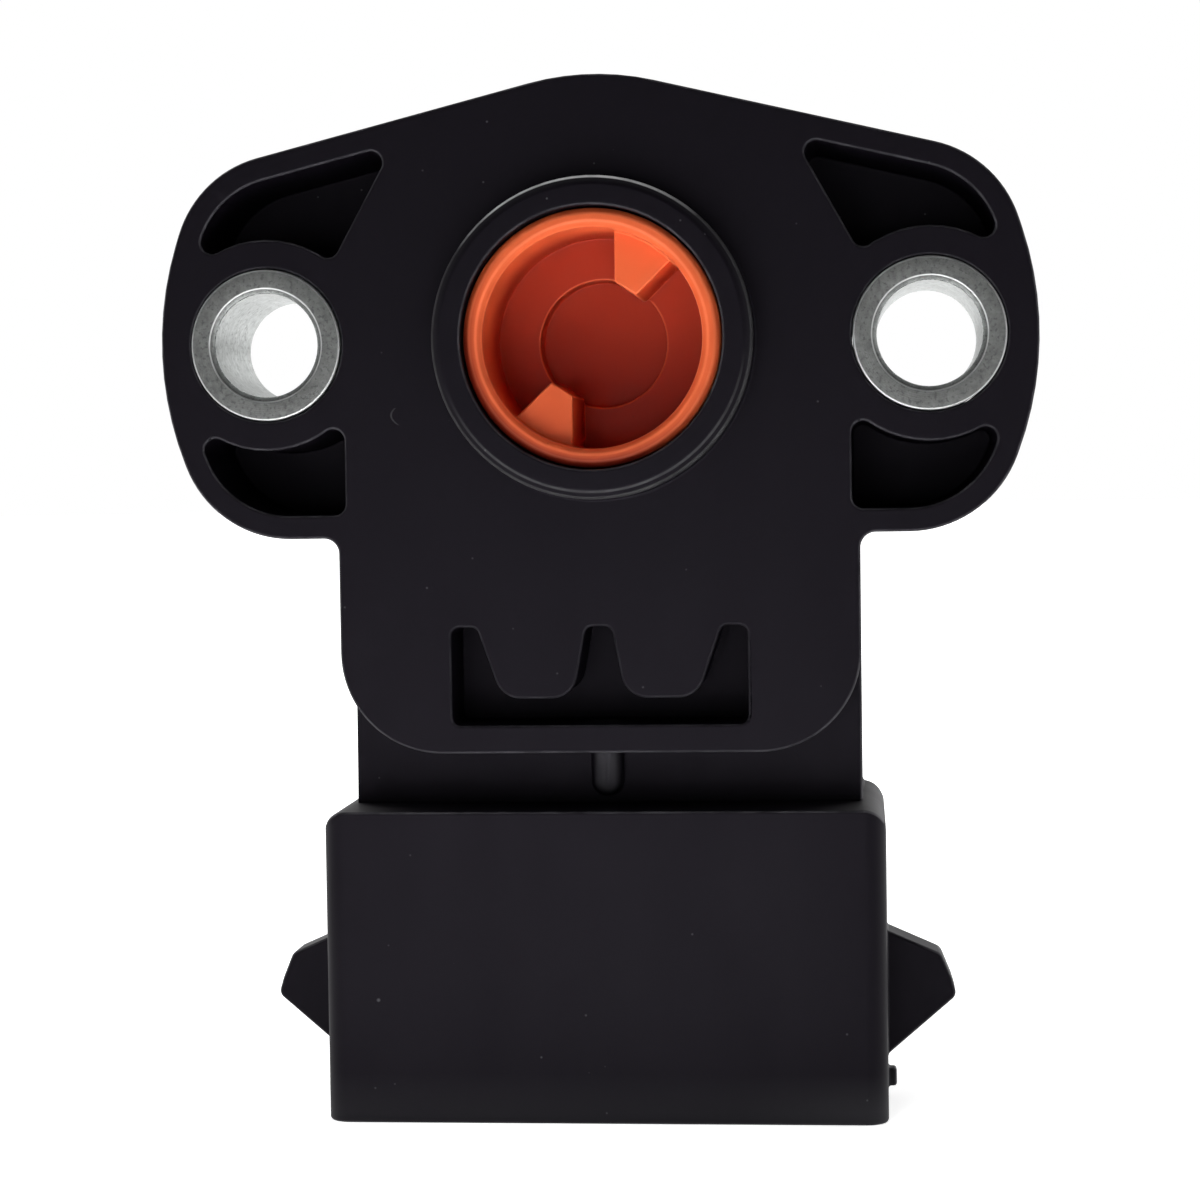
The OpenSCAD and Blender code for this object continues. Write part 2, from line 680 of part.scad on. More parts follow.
// The wire's route: a leg forwards, a short bend, the coil, a short bend and a leg backwards
function coil_point(t) = let (a = spring_front_angle - 360 * coil_turns * t)
    [coil_r * cos(a), coil_r * sin(a), coil_front - coil_rise * t];
bend_t = leg_bend / (2 * PI * coil_r * coil_turns);
coil_path = concat(
    [[coil_point(0)[0], coil_point(0)[1], -chamber_front + coil_leg],
     [coil_point(0)[0], coil_point(0)[1], coil_front + leg_bend]],
    [for (i = [0:coil_turns * coil_steps])
        coil_point(bend_t + (1 - 2 * bend_t) * i / (coil_turns * coil_steps))],
    [[coil_point(1)[0], coil_point(1)[1], coil_front - coil_rise - leg_bend],
     [coil_point(1)[0], coil_point(1)[1], -disc_front - coil_leg]]);

// A round tube along a path, with one frame vector kept near to the rotor's axis's radius
module tube(path, r) {
    last = len(path) - 1;
    points = [for (i = [0:last])
        let (way = unit(path[min(last, i + 1)] - path[max(0, i - 1)]),
             out = unit([path[i][0], path[i][1], 0]),
             side = unit(out - way * (out * way)),
             other = cross(way, side))
        for (k = [0:wire_sides - 1])
            path[i] + r * (cos(360 * k / wire_sides) * side + sin(360 * k / wire_sides) * other)];
    faces = concat(
        [[for (k = [0:wire_sides - 1]) k]],
        [for (i = [0:last - 1], k = [0:wire_sides - 1])
            let (a = i * wire_sides + k, b = i * wire_sides + (k + 1) % wire_sides)
            each [[a, a + wire_sides, b + wire_sides], [a, b + wire_sides, b]]],
        [[for (k = [wire_sides - 1:-1:0]) last * wire_sides + k]]);
    polyhedron(points, faces);
}

module return_spring() color(steel) place() tube(coil_path, wire_d / 2);

// The wiper: a plate staked on the disc's back, and two fingers bent towards the board.
// It is drawn with its contacts on the x axis, and then turned to the tab's rest angle.
plate_back = -disc_back - wiper_t;
plate_near = finger_l / 2 - 0.4;
plate_in = collector_r - finger_w / 2;
plate_out = track_r + finger_w / 2;
stake_y = plate_near + plate_l / 2;
stake_points = [[plate_in - plate_skew / 2 + stake_d, stake_y],
                [plate_out - plate_skew / 2 - stake_d, stake_y]];
contact_reach = board_gap - wiper_t - film_t - fit_gap;

module wiper() color(brass) place() rotate([0, 0, tab_rest]) {
    slab(plate_back, -disc_back - fit_gap) difference() {
        polygon([[plate_in, plate_near], [plate_out, plate_near],
                 [plate_out - plate_skew, plate_near + plate_l],
                 [plate_in - plate_skew, plate_near + plate_l]]);
        for (p = stake_points) translate(p) circle(r = stake_d / 2 + fit_gap, $fn = 48);
    }
    for (r = [collector_r, track_r])
        translate([r - finger_w / 2, 0, 0]) rotate([90, 0, 90]) linear_extrude(finger_w)
            polygon(finger_profile());
}

// A finger in side view: from the plate it slopes back to a rounded contact on the track
function finger_profile() =
    let (touch = plate_back - contact_reach, bump = finger_w / 2, top = touch + bump)
    concat([[plate_near + wiper_t, -disc_back - fit_gap], [plate_near + wiper_t, plate_back]],
           [for (a = [-45:-22.5:-135]) [0.7 * bump * cos(a), touch + bump / 2 * (1 + sin(a))]],
           [[-1.6 * bump, top], [-1.6 * bump, top + wiper_t], [0, top], [bump, top]]);

module thrust_washer() color(steel) place()
    ring(hub_d / 2 + loose_gap, pivot_d / 2 + loose_gap,
         -hub_back - end_play - washer_t, -hub_back - end_play);

// The board's outline, or one that lies inside it by the margin
module board_outline(margin = 0) {
    circle(r = board_r - margin);
    translate([-board_half + margin, -board_bottom + margin])
        square([2 * (board_half - margin), board_bottom - bay_top - loose_gap - 2 * margin]);
}

module resistor_board() color([0.9, 0.89, 0.85]) place()
    slab(-board_back, -board_front) difference() {
        board_outline();
        circle(r = board_hole_d / 2);
    }

module resistor_track() color([0.12, 0.12, 0.13]) place()
    slab(-board_front, -board_front + film_t)
        sector(track_r + track_w / 2, track_r - track_w / 2, -track_dip, 180 + track_dip);

module collector_track() color([0.2, 0.2, 0.21]) place()
    ring(collector_r + track_w / 2, collector_r - track_w / 2, -board_front, -board_front + film_t);

// A pad under each contact spring, with a conductor up to its track
module conductor_outline() {
    trace_x = track_r * cos(track_dip);
    both_sides() difference() {
        union() {
            translate([trace_x - trace_w / 2, -pad_top]) square([trace_w, pad_top]);
            translate([terminal_pitch - contact_w, -pad_top - pad_h]) square([2 * contact_w, pad_h]);
        }
        circle(r = track_r + track_w / 2 + fit_gap);
    }
    difference() {
        translate([-trace_w / 2, -pad_top]) square([trace_w, pad_top]);
        circle(r = collector_r + track_w / 2 + fit_gap);
    }
    translate([-contact_w, -pad_top - pad_h]) square([2 * contact_w, pad_h - fit_gap]);
}

module conductor_traces() color([0.8, 0.8, 0.78]) place()
    slab(-board_front, -board_front + film_t) intersection() {
        conductor_outline();
        board_outline(loose_gap);
    }

module terminal(x) color(brass) place() {
    tip = cavity_top + blade_l;
    half = blade_w / 2;
    translate([x, 0, 0]) slab(terminal_z - blade_t / 2, terminal_z + blade_t / 2)
        polygon([[-half + blade_taper / 2, -tip], [half - blade_taper / 2, -tip],
                 [half, -tip + blade_taper], [half, -shoulder_y], [tail_w / 2, -shoulder_y],
                 [tail_w / 2, -tail_top], [-tail_w / 2, -tail_top], [-tail_w / 2, -shoulder_y],
                 [-half, -shoulder_y], [-half, -tip + blade_taper]]);
}
module terminal_left() terminal(terminal_x[0]);
module terminal_centre() terminal(terminal_x[1]);
module terminal_right() terminal(terminal_x[2]);

// A strip that is fixed to a tail's back and presses on the board's pad, in side view
module contact_spring(x) color(brass) place() {
    back = terminal_z - blade_t / 2;
    pad = -board_front + film_t + fit_gap;
    pad_y = -pad_top - pad_h / 2;
    foot = -ledge_bottom + 2 * loose_gap;
    bend = -tail_top + 0.3;
    bump = 0.4;
    translate([x - contact_w / 2, 0, 0]) rotate([90, 0, 90]) linear_extrude(contact_w)
        polygon([[foot, back], [foot, back - contact_t], [bend - contact_t, back - contact_t],
                 [pad_y - bump, pad + bump / 4], [pad_y - bump / 3, pad], [pad_y + bump / 3, pad],
                 [pad_y + 2 * bump, pad + bump], [pad_y + 2 * bump, pad + bump + contact_t],
                 [pad_y, pad + contact_t * 1.2], [pad_y - bump / 2, pad + contact_t * 1.6],
                 [bend, back]]);
}
module contact_spring_left() contact_spring(terminal_x[0]);
module contact_spring_centre() contact_spring(terminal_x[1]);
module contact_spring_right() contact_spring(terminal_x[2]);

module back_cover() color(cover_plastic) place() {
    difference() {
        union() {
            slab(-body_depth, -cover_front) chamber_outline(cover_step - loose_gap - groove_w);
            slab(-body_depth + groove_depth, -cover_front) chamber_outline(cover_step - loose_gap);
            ring(bearing_d / 2, 0, -cover_front - sink, -bearing_front);
            for (side = [-1, 1]) translate([side * terminal_pitch * 1.2, -pad_top, -cover_front - sink])
                cylinder(r = post_d / 2, h = cover_front + sink - board_back - end_play);
        }
        translate([0, 0, -pivot_back - end_play])
            cylinder(r = pivot_d / 2 + run_gap, h = pivot_back + end_play);
    }
}

module cover_sealant() color([0.06, 0.06, 0.07]) place()
    slab(-body_depth + sleeve_proud, -body_depth + groove_depth) difference() {
        chamber_outline(cover_step - fit_gap);
        chamber_outline(cover_step - loose_gap - groove_w + fit_gap);
    }

housing();
mounting_sleeve_left();
mounting_sleeve_right();
rotor();
rotor_seal();
return_spring();
wiper();
thrust_washer();
resistor_board();
resistor_track();
collector_track();
conductor_traces();
terminal_left();
terminal_centre();
terminal_right();
contact_spring_left();
contact_spring_centre();
contact_spring_right();
back_cover();
cover_sealant();
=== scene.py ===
"""Looks of a throttle position sensor, built round its packed construction model.

The sensor stands on the mouth of its plug shroud. Its mounting face looks along -Y, the rotor
turns about the Y axis, and +Z points up, away from the plug. Every length is in metres, in the
construction model's own frame.
"""

import logging
import math
from dataclasses import dataclass, field
from enum import Enum
from typing import Any, Iterable, Optional, Union

import bmesh
import bpy
import numpy as np
from mathutils import Matrix, Vector


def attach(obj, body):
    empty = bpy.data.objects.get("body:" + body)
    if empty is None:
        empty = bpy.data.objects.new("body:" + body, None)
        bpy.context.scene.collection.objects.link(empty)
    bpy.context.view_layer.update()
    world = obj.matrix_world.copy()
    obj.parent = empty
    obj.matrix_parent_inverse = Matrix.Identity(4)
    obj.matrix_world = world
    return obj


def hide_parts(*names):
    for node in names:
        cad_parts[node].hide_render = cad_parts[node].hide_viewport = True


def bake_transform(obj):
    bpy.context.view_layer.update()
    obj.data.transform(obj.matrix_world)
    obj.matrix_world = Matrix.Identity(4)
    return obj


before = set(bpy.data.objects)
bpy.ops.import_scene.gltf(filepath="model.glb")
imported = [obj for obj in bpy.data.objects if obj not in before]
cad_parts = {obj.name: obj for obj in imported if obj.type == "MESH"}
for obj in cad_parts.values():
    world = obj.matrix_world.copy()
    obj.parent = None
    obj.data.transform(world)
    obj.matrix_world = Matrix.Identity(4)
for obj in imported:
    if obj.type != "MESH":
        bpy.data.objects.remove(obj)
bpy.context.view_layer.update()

LOG = logging.getLogger("throttle_position_sensor")
MM = 0.001
TAU = 2 * math.pi
# The face frame's depths start this far in front of the housing's plastic
SEAT = 0.15 * MM
SLEEVE_X = 17.5 * MM
# Points closer than this are one
MERGE = 1e-6

Colour = tuple[float, float, float]
Value = Union["Wire", float, Colour]
Sides = tuple[tuple[str, float, float], ...]

# Regions of the housing's front. Each side has its axis, its level and its softness in
# millimetres, and the softness is negative where the region lies below the level.
# The rib region is where the neck's rib is painted paler, a painted highlight; the comb region is
# where edges are toned down, a painted shade.
RIB_HIGHLIGHT: Sides = (("X", -0.75, 0.5), ("X", 0.75, -0.5), ("Z", -24.4, 0.6), ("Z", -20.1, -0.3),
              ("Y", 2.4, 0.4), ("Y", 4.0, -0.3))
COMB: Sides = (("X", -8.8, 0.3), ("X", 8.8, -0.3), ("Z", -21.2, 0.2), ("Z", -14.4, -0.3))
FIBRE: Sides = (("Z", -4.32, 0.06), ("Z", -3.44, -0.06), ("Y", 1.0, -0.2))


# Shader graph


class Wire:
    """A shader value that Python's operators can work on."""

    def __init__(self, graph: "Graph", socket: bpy.types.NodeSocket) -> None:
        """Keeps the graph and the output socket that carries the value."""
        self.graph = graph
        self.socket = socket

    def pick(self, name: str) -> "Wire":
        """Another output of the same node."""
        return Wire(self.graph, self.socket.node.outputs[name])

    def __add__(self, other: Value) -> "Wire":
        """This value plus another."""
        return self.graph.maths("ADD", self, other)

    def __sub__(self, other: Value) -> "Wire":
        """This value less another."""
        return self.graph.maths("SUBTRACT", self, other)

    def __rsub__(self, other: Value) -> "Wire":
        """Another value less this one."""
        return self.graph.maths("SUBTRACT", other, self)

    def __mul__(self, other: Value) -> "Wire":
        """This value times another."""
        return self.graph.maths("MULTIPLY", self, other)

    def __truediv__(self, other: Value) -> "Wire":
        """This value divided by another."""
        return self.graph.maths("DIVIDE", self, other)

    __radd__ = __add__
    __rmul__ = __mul__

    def sine(self) -> "Wire":
        """The value's sine."""
        return self.graph.maths("SINE", self)

    def held(self) -> "Wire":
        """The value held between 0 and 1."""
        return self.graph.add("ShaderNodeClamp", {}, {"Value": self})

    def above(self, level: float, softness: float) -> "Wire":
        """A mask that rises from 0 to 1 round a level.

        Args:
            level: Value at which the mask is one half.
            softness: Width of the rise.

        Returns:
            (value - level) / softness + 1/2, held between 0 and 1.
        """
        return ((self - level) / softness + 0.5).held()

    def below(self, level: float, softness: float) -> "Wire":
        """A mask that falls from 1 to 0 round a level."""
        return 1 - self.above(level, softness)


class Graph:
    """The node tree of one material or of the world."""

    def __init__(self, owner: Union[bpy.types.Material, bpy.types.World]) -> None:
        """Empties the owner's tree and works on it."""
        owner.use_nodes = True
        self.tree = owner.node_tree
        self.tree.nodes.clear()

    def add(
        self,
        kind: str,
        settings: dict[str, Any],
        inputs: dict[Union[str, int], Value],
        output: Union[str, int] = 0,
    ) -> Wire:
        """Adds a node, sets it up and feeds its sockets.

        Args:
            kind: The node's type.
            settings: The node's own settings.
            inputs: A value or a wire for each socket, by name or number.
            output: The output that is handed back, by name or number.

        Returns:
            The chosen output.
        """
        node = self.tree.nodes.new(kind)
        for key, value in settings.items():
            setattr(node, key, value)
        for key, value in inputs.items():
            self.feed(node.inputs[key], value)
        return Wire(self, node.outputs[output]) if node.outputs else None

    def feed(self, socket: bpy.types.NodeSocket, value: Value) -> None:
        """Links a wire to a socket, or sets the socket's own value.

        Args:
            socket: The socket.
            value: A wire, a number or a colour.
        """
        if isinstance(value, Wire):
            self.tree.links.new(value.socket, socket)
        elif isinstance(value, tuple) and socket.type == "RGBA":
            socket.default_value = (*value, 1.0)
        else:
            socket.default_value = value

    def maths(self, operation: str, *values: Value) -> Wire:
        """One arithmetic step on numbers."""
        return self.add("ShaderNodeMath", {"operation": operation}, dict(enumerate(values)))

    def place(self, centre: Colour = (0.0, 0.0, 0.0), stretch: Colour = (1.0, 1.0, 1.0)) -> Wire:
        """The object coordinates, moved and stretched.

        Args:
            centre: Point that becomes the pattern's origin.
            stretch: Factor along each axis.

        Returns:
            stretch * (position - centre).
        """
        coords = self.add("ShaderNodeTexCoord", {}, {}, "Object")
        moved = self.add("ShaderNodeVectorMath", {"operation": "SUBTRACT"}, {0: coords, 1: centre})
        return self.add("ShaderNodeVectorMath", {"operation": "MULTIPLY"}, {0: moved, 1: stretch})

    def length(self, vector: Wire) -> Wire:
        """The length of a vector."""
        return self.add("ShaderNodeVectorMath", {"operation": "LENGTH"}, {0: vector}, "Value")

    def reach(self, centre: Colour = (0.0, 0.0, 0.0)) -> Wire:
        """The distance from the axis that runs along Y through a point."""
        return self.length(self.place(centre, (1.0, 0.0, 1.0)))

    def split(self, vector: Wire, axis: str = "X") -> Wire:
        """One part of a vector, with the other two beside it."""
        return self.add("ShaderNodeSeparateXYZ", {}, {0: vector}, axis)

    def region(self, at: Wire, sides: Sides) -> Wire:
        """The mask of a region with soft sides, the product of one mask for each side.

        Args:
            at: Coordinates.
            sides: Axis, level and softness of each side.

        Returns:
            1 inside the region.
        """
        parts, mask = self.split(at), 1.0
        for axis, level, softness in sides:
            mask = parts.pick(axis).above(level * MM, softness * MM) * mask
        return mask

    def noise(self, at: Wire, scale: float, detail: float = 2.0, rough: float = 0.5) -> Wire:
        """Soft noise between 0 and 1."""
        sockets = {"Vector": at, "Scale": scale, "Detail": detail, "Roughness": rough}
        return self.add("ShaderNodeTexNoise", {"noise_dimensions": "3D"}, sockets)

    def specks(self, at: Wire, pitch: float, radius: float, share: float) -> Wire:
        """Scattered round specks.

        Args:
            at: Coordinates.
            pitch: Mean distance between the points that may carry a speck.
            radius: A speck's radius.
            share: Share of the points that carry one.

        Returns:
            A mask that is 1 in the middle of a speck.
        """
        sockets = {"Vector": at, "Scale": 1 / pitch}
        near = self.add("ShaderNodeTexVoronoi", {"feature": "F1"}, sockets, "Distance")
        draw = self.add("ShaderNodeSeparateColor", {}, {0: near.pick("Color")}, "Red")
        return near.below(radius / pitch, radius / pitch) * draw.below(share, 0.02)

    def attribute(self, name: str) -> Wire:
        """A number that the mesh carries at each vertex."""
        return self.add("ShaderNodeAttribute", {"attribute_name": name}, {}, "Fac")

    def tint(self, mask: Value, first: Value, second: Value, way: str = "MIX") -> Wire:
        """A colour that goes from the first to the second as the mask goes from 0 to 1."""
        settings = {"data_type": "RGBA", "blend_type": way}
        return self.add("ShaderNodeMix", settings, {0: mask, 6: first, 7: second}, 2)

    def shade(self, colour: Value, amount: Value) -> Wire:
        """A colour made lighter or darker by a factor."""
        grey = self.add("ShaderNodeCombineColor", {}, {0: amount, 1: amount, 2: amount})
        return self.tint(1.0, colour, grey, "MULTIPLY")

    def bump(self, height: Wire, depth: float, strength: float = 1.0) -> Wire:
        """A bump normal.

        Args:
            height: Height of the relief, between 0 and 1.
            depth: Distance in metres that a height of 1 stands for.
            strength: How much of the relief is used.

        Returns:
            The bent normal.
        """
        sockets = {"Height": height, "Distance": depth, "Strength": strength}
        return self.add("ShaderNodeBump", {}, sockets)

    def seen_directly(self) -> Wire:
        """Tells looking from lighting.

        Returns:
            1 for what is seen, mirrored or looked through, and 0 where light is gathered.
        """
        camera = self.add("ShaderNodeLightPath", {}, {}, "Is Camera Ray")
        others = camera.pick("Is Glossy Ray") + camera.pick("Is Transmission Ray")
        return (camera + others).held()


# Finishes


class Metal(Enum):
    """The metals that the sensor's small parts are made of, by base colour."""

    # Darker than plain plated steel: painted shade for the dim front that the sleeves' faces
    # reflect.
    PLATED_STEEL = (0.155, 0.159, 0.156)
    SPRING_STEEL = (0.50, 0.50, 0.50)
    BRONZE = (0.74, 0.50, 0.27)
    TINNED_BRASS = (0.78, 0.66, 0.42)
    SILVER_INK = (0.66, 0.65, 0.62)


@dataclass(frozen=True)
class Finish:
    """A finish: a name, the record's slot that it stands for, and how to paint it."""

    name: str
    slot: str

    def paint(self, graph: Graph) -> dict[str, Value]:
        """The surface's values and wires, by socket."""
        raise NotImplementedError

    def material(self) -> bpy.types.Material:
        """Makes the finish's material on first use.

        Returns:
            The material.
        """
        found = bpy.data.materials.get(self.name)
        if found:
            return found
        made = bpy.data.materials.new(self.name)
        graph = Graph(made)
        shader = graph.add("ShaderNodeBsdfPrincipled", {}, self.paint(graph))
        graph.add("ShaderNodeOutputMaterial", {}, {"Surface": shader})
        return made


@dataclass(frozen=True)
class MouldedPlastic(Finish):
    """Black glass-filled plastic with a fine eroded grain, dust, and pale edges that are partly
    wear and partly painted highlight.
    """

    colour: Colour = (0.0016, 0.0010, 0.0022)
    pale_edge: Colour = (0.085, 0.083, 0.092)
    sheen: Colour = (0.90, 0.84, 1.0)
    roughness: float = 0.55
    grain: float = 0.16 * MM
    dust: float = 0.8
    dust_colour: Colour = (0.16, 0.16, 0.17)
    shine: float = 0.122
    foot: float = -39.9 * MM
    ring: float = 0.0
    ring_highlight: Colour = (0.95, 0.95, 0.96)
    edge_share: float = 0.62
    rib_highlight_share: float = 0.45
    comb_edge_shade: float = 0.6

    def paint(self, graph: Graph) -> dict[str, Value]:
        """Clouded black, a fine relief, scattered dust, and paler edges: partly wear, partly
        painted highlight.

        Args:
            graph: The material's graph.

        Returns:
            The surface's values and wires, by socket.
        """
        at = graph.place()
        clouds = graph.noise(at, 70, 3.0)
        grain = graph.noise(at, 1 / self.grain, 3.0, 0.6)
        smear = graph.noise(graph.place(stretch=(1.0, 1.0, 0.35)), 260, 4.0, 0.6)
        # Paler rounded edges: partly wear, partly painted highlight.
        pale_edge = graph.attribute("rounded_edge").above(0.75, 0.5)
        edge = pale_edge * (0.2 + graph.noise(at, 700, 3.0).above(0.5, 0.4) * 0.8)
        fine = graph.specks(at, 1.15 * MM, 0.05 * MM, 0.30)
        coarse = graph.specks(at, 3.1 * MM, 0.08 * MM, 0.28)
        parts = graph.split(at)
        foot = parts.pick("Z").below(self.foot, 2.0 * MM) * (0.06 + smear * 0.05)
        foot = foot * (1.0 + parts.above(11.0 * MM, 8.0 * MM) * 1.6)
        lint = (fine * 0.75 + coarse) * self.dust + foot
        body = graph.shade(self.colour, 0.70 + clouds * 0.35 + grain * 0.28)
        if self.ring:
            # Near the boss's ring the pale edge colour gives way to the ring's painted highlight.
            near = graph.reach() - self.ring
            ours = near.above(-0.75 * MM, 0.1 * MM) * near.below(0.2 * MM, 0.1 * MM)
            # Paler edges are toned down in the comb recess: painted shade.
            edge = edge * (1.0 - ours) * (1.0 - graph.region(at, COMB) * self.comb_edge_shade)
            lint = lint + self.fibre(graph) * 0.36
        with_edges = graph.tint((edge * self.edge_share).held(), body, self.pale_edge)
        if self.ring:
            # A painted highlight on the pilot boss's edge, brightest on top.
            with_edges = graph.tint(self.boss_ring_highlight(graph), with_edges, self.ring_highlight)
            # The neck's rib painted paler: a painted highlight.
            with_edges = graph.tint(graph.region(at, RIB_HIGHLIGHT) * self.rib_highlight_share, with_edges, self.pale_edge)
        dusty = graph.tint((lint * 0.7).held(), with_edges, self.dust_colour)
        rough = self.roughness + (clouds - 0.5) * 0.12 + (smear - 0.5) * 0.16 + lint * 0.2
        relief = grain * 0.8 + smear * 0.35 + lint * 0.5
        return {
            "Base Color": dusty,
            "Roughness": rough - edge * 0.08,
            "Specular IOR Level": self.shine,
            "Specular Tint": self.sheen,
            "Normal": graph.bump(relief, 0.012 * MM, 0.55),
        }

    def fibre(self, graph: Graph) -> Wire:
        """The mask of a short bent fibre on the face, left of the cup.

        The fibre follows a parabola: in millimetres its x is 1.5 times the square of its height
        from the bend, less 10.85.

        Args:
            graph: The material's graph.

        Returns:
            1 on the fibre.
        """
        at = graph.place()
        parts = graph.split(at)
        up = parts.pick("Z") + 3.82 * MM
        off = parts + 10.85 * MM - up * up * (1.5 / MM)
        return (off * off).below(0.002 * MM**2, 0.003 * MM**2) * graph.region(at, FIBRE)

    def boss_ring_highlight(self, graph: Graph) -> Wire:
        """The mask of a painted highlight on the pilot boss's edge, brightest on top.

        About the rotor's axis the edge lies at the ring's radius. With u = x / radius and
        w = z / radius, the cosine of the angle from the brightest place is 0.99 w - 0.12 u.

        Args:
            graph: The material's graph.

        Returns:
            1 where the edge carries the painted highlight.
        """
        at, radius = graph.place(), graph.reach()
        parts = graph.split(at)
        top = (parts.pick("Z") * 0.99 - parts * 0.12) / radius
        outer = radius.above(self.ring - 0.15 * MM, 0.05 * MM)
        outer = outer * radius.below(self.ring + 0.06 * MM, 0.04 * MM)
        inner = radius.above(self.ring - 0.46 * MM, 0.04 * MM)
        inner = inner * radius.below(self.ring - 0.34 * MM, 0.04 * MM) * top.below(-0.45, 0.5)
        front = parts.pick("Y").below(-1.2 * MM, 0.3 * MM)
        breaks = graph.noise(at, 900, 3.0).above(0.42, 0.5) * 0.6 + 0.4
        arc = top.above(0.80, 0.30) * 0.90 + 0.05
        return ((outer * arc + inner * 0.05) * front * breaks).held()


@dataclass(frozen=True)
class RotorPlastic(Finish):
    """Orange engineering plastic with a satin skin."""

    colour: Colour = (0.84, 0.140, 0.045)
    pale: Colour = (0.98, 0.24, 0.10)
    painted_cup_shade: Colour = (0.48, 0.046, 0.019)
    painted_shadow: Colour = (0.20, 0.016, 0.007)
    grit: Colour = (0.30, 0.05, 0.02)
    shine: float = 0.12

    def paint(self, graph: Graph) -> dict[str, Value]:
        """Even orange, paler at the rounded edges, with a faint turned-mould relief, painted shade
        deep in the cup, and a painted shadow on the lower-left of the rim's shoulder and lugs.

        Args:
            graph: The material's graph.

        Returns:
            The surface's values and wires, by socket.
        """
        at = graph.place()
        clouds = graph.noise(at, 160, 3.0)
        grain = graph.noise(at, 6000, 2.0)
        edge = graph.attribute("rounded_edge")
        grit = graph.specks(at, 1.3 * MM, 0.05 * MM, 0.4)
        reach, parts = graph.reach(), graph.split(at)
        # Deep in the cup, inside the rim, the orange is darker: painted shade.
        inward = parts.pick("Y").above(2.6 * MM, 3.6 * MM)
        core = reach.below(5.9 * MM, 0.3 * MM)
        body = graph.tint(inward * core, self.colour, self.painted_cup_shade)
        body = graph.shade(body, 0.90 + clouds * 0.20)
        # The rim's outer shoulder, most of all on the lower-left, and the lugs and rim on the
        # lower-left are darker: a painted shadow.
        low = ((parts * -0.55 + parts.pick("Z") * -0.84) / reach).above(0.25, 1.0)
        shoulder_shadow = reach.above(6.30 * MM, 0.45 * MM) * (0.04 + low * 0.88)
        low_side_shade = reach.above(2.8 * MM, 0.2 * MM) * low * (1.0 - inward) * 0.26
        body = graph.tint((shoulder_shadow + low_side_shade).held(), body, self.painted_shadow)
        with_edges = graph.tint((edge * (1.0 - shoulder_shadow) * 0.45).held(), body, self.pale)
        return {
            "Base Color": graph.tint((grit * 0.5).held(), with_edges, self.grit),
            "Roughness": 0.38 + (clouds - 0.5) * 0.16 + grain * 0.06,
            "Specular IOR Level": self.shine,
            "Normal": graph.bump(grain + clouds * 0.6, 0.008 * MM, 0.4),
        }


@dataclass(frozen=True)
class SleeveMetal(Finish):
    """Plated turned steel: grey, speckled, with faint lathe rings round the sleeve's axis."""

    axis: tuple[float, float] = (0.0, 0.0)
    # The bore's lighter tone is a painted reflection of the bright surroundings.
    bore: Colour = (0.44, 0.46, 0.45)
    pit: Colour = (0.05, 0.052, 0.052)
    pale_edge: Colour = (0.62, 0.63, 0.63)
    lathe_pitch: float = 0.11 * MM

    def paint(self, graph: Graph) -> dict[str, Value]:
        """Speckled grey, dark on the faces and light in the bore, with dark pits and rings whose
        height is a sine of the radius.

        Args:
            graph: The material's graph.

        Returns:
            The surface's values and wires, by socket.
        """
        at = graph.place()
        radius = graph.reach((self.axis[0], 0.0, self.axis[1]))
        rings = (radius * (TAU / self.lathe_pitch)).sine() * 0.5 + 0.5
        mottle = graph.noise(at, 2400, 4.0, 0.65)
        pits = graph.noise(at, 5200, 2.0).below(0.40, 0.10)
        stain = graph.noise(at, 420, 3.0)
        edge, bore = graph.attribute("rounded_edge"), graph.attribute("bore")
        skin = graph.tint(bore, Metal.PLATED_STEEL.value, self.bore)
        body = graph.shade(skin, 0.05 + mottle * 1.30 + stain * 0.35)
        pitted = graph.tint((pits * (0.6 - bore * 0.35)).held(), body, self.pit)
        return {
            # Paler rounded edges: partly wear, partly painted highlight.
            "Base Color": graph.tint((edge * 0.6).held(), pitted, self.pale_edge),
            "Metallic": 0.9 - pits * 0.25,
            "Roughness": 0.42 + mottle * 0.20 + pits * 0.12 - edge * 0.12 - bore * 0.14,
            "Normal": graph.bump(mottle + rings * 0.25 - pits * 0.4, 0.012 * MM, 0.6),
        }


@dataclass(frozen=True)
class StampedMetal(Finish):
    """Sheet or wire metal with drawn streaks along one direction."""

    metal: Metal = Metal.BRONZE
    along: Colour = (1.0, 1.0, 0.06)
    roughness: float = 0.28
    pale_edge: Colour = (0.85, 0.84, 0.80)

    def paint(self, graph: Graph) -> dict[str, Value]:
        """The metal's colour, streaked and lightly tarnished, with a streaked relief.

        Args:
            graph: The material's graph.

        Returns:
            The surface's values and wires, by socket.
        """
        streaks = graph.noise(graph.place(stretch=self.along), 9000, 3.0, 0.6)
        tarnish = graph.noise(graph.place(), 700, 4.0, 0.6)
        edge = graph.attribute("rounded_edge")
        body = graph.shade(self.metal.value, 0.72 + streaks * 0.25 + tarnish * 0.18)
        return {
            "Base Color": graph.tint((edge * 0.4).held(), body, self.pale_edge),
            "Metallic": 1.0,
            "Roughness": self.roughness + (tarnish - 0.4) * 0.25 + (streaks - 0.5) * 0.12,
            "Normal": graph.bump(streaks, 0.004 * MM, 0.5),
        }


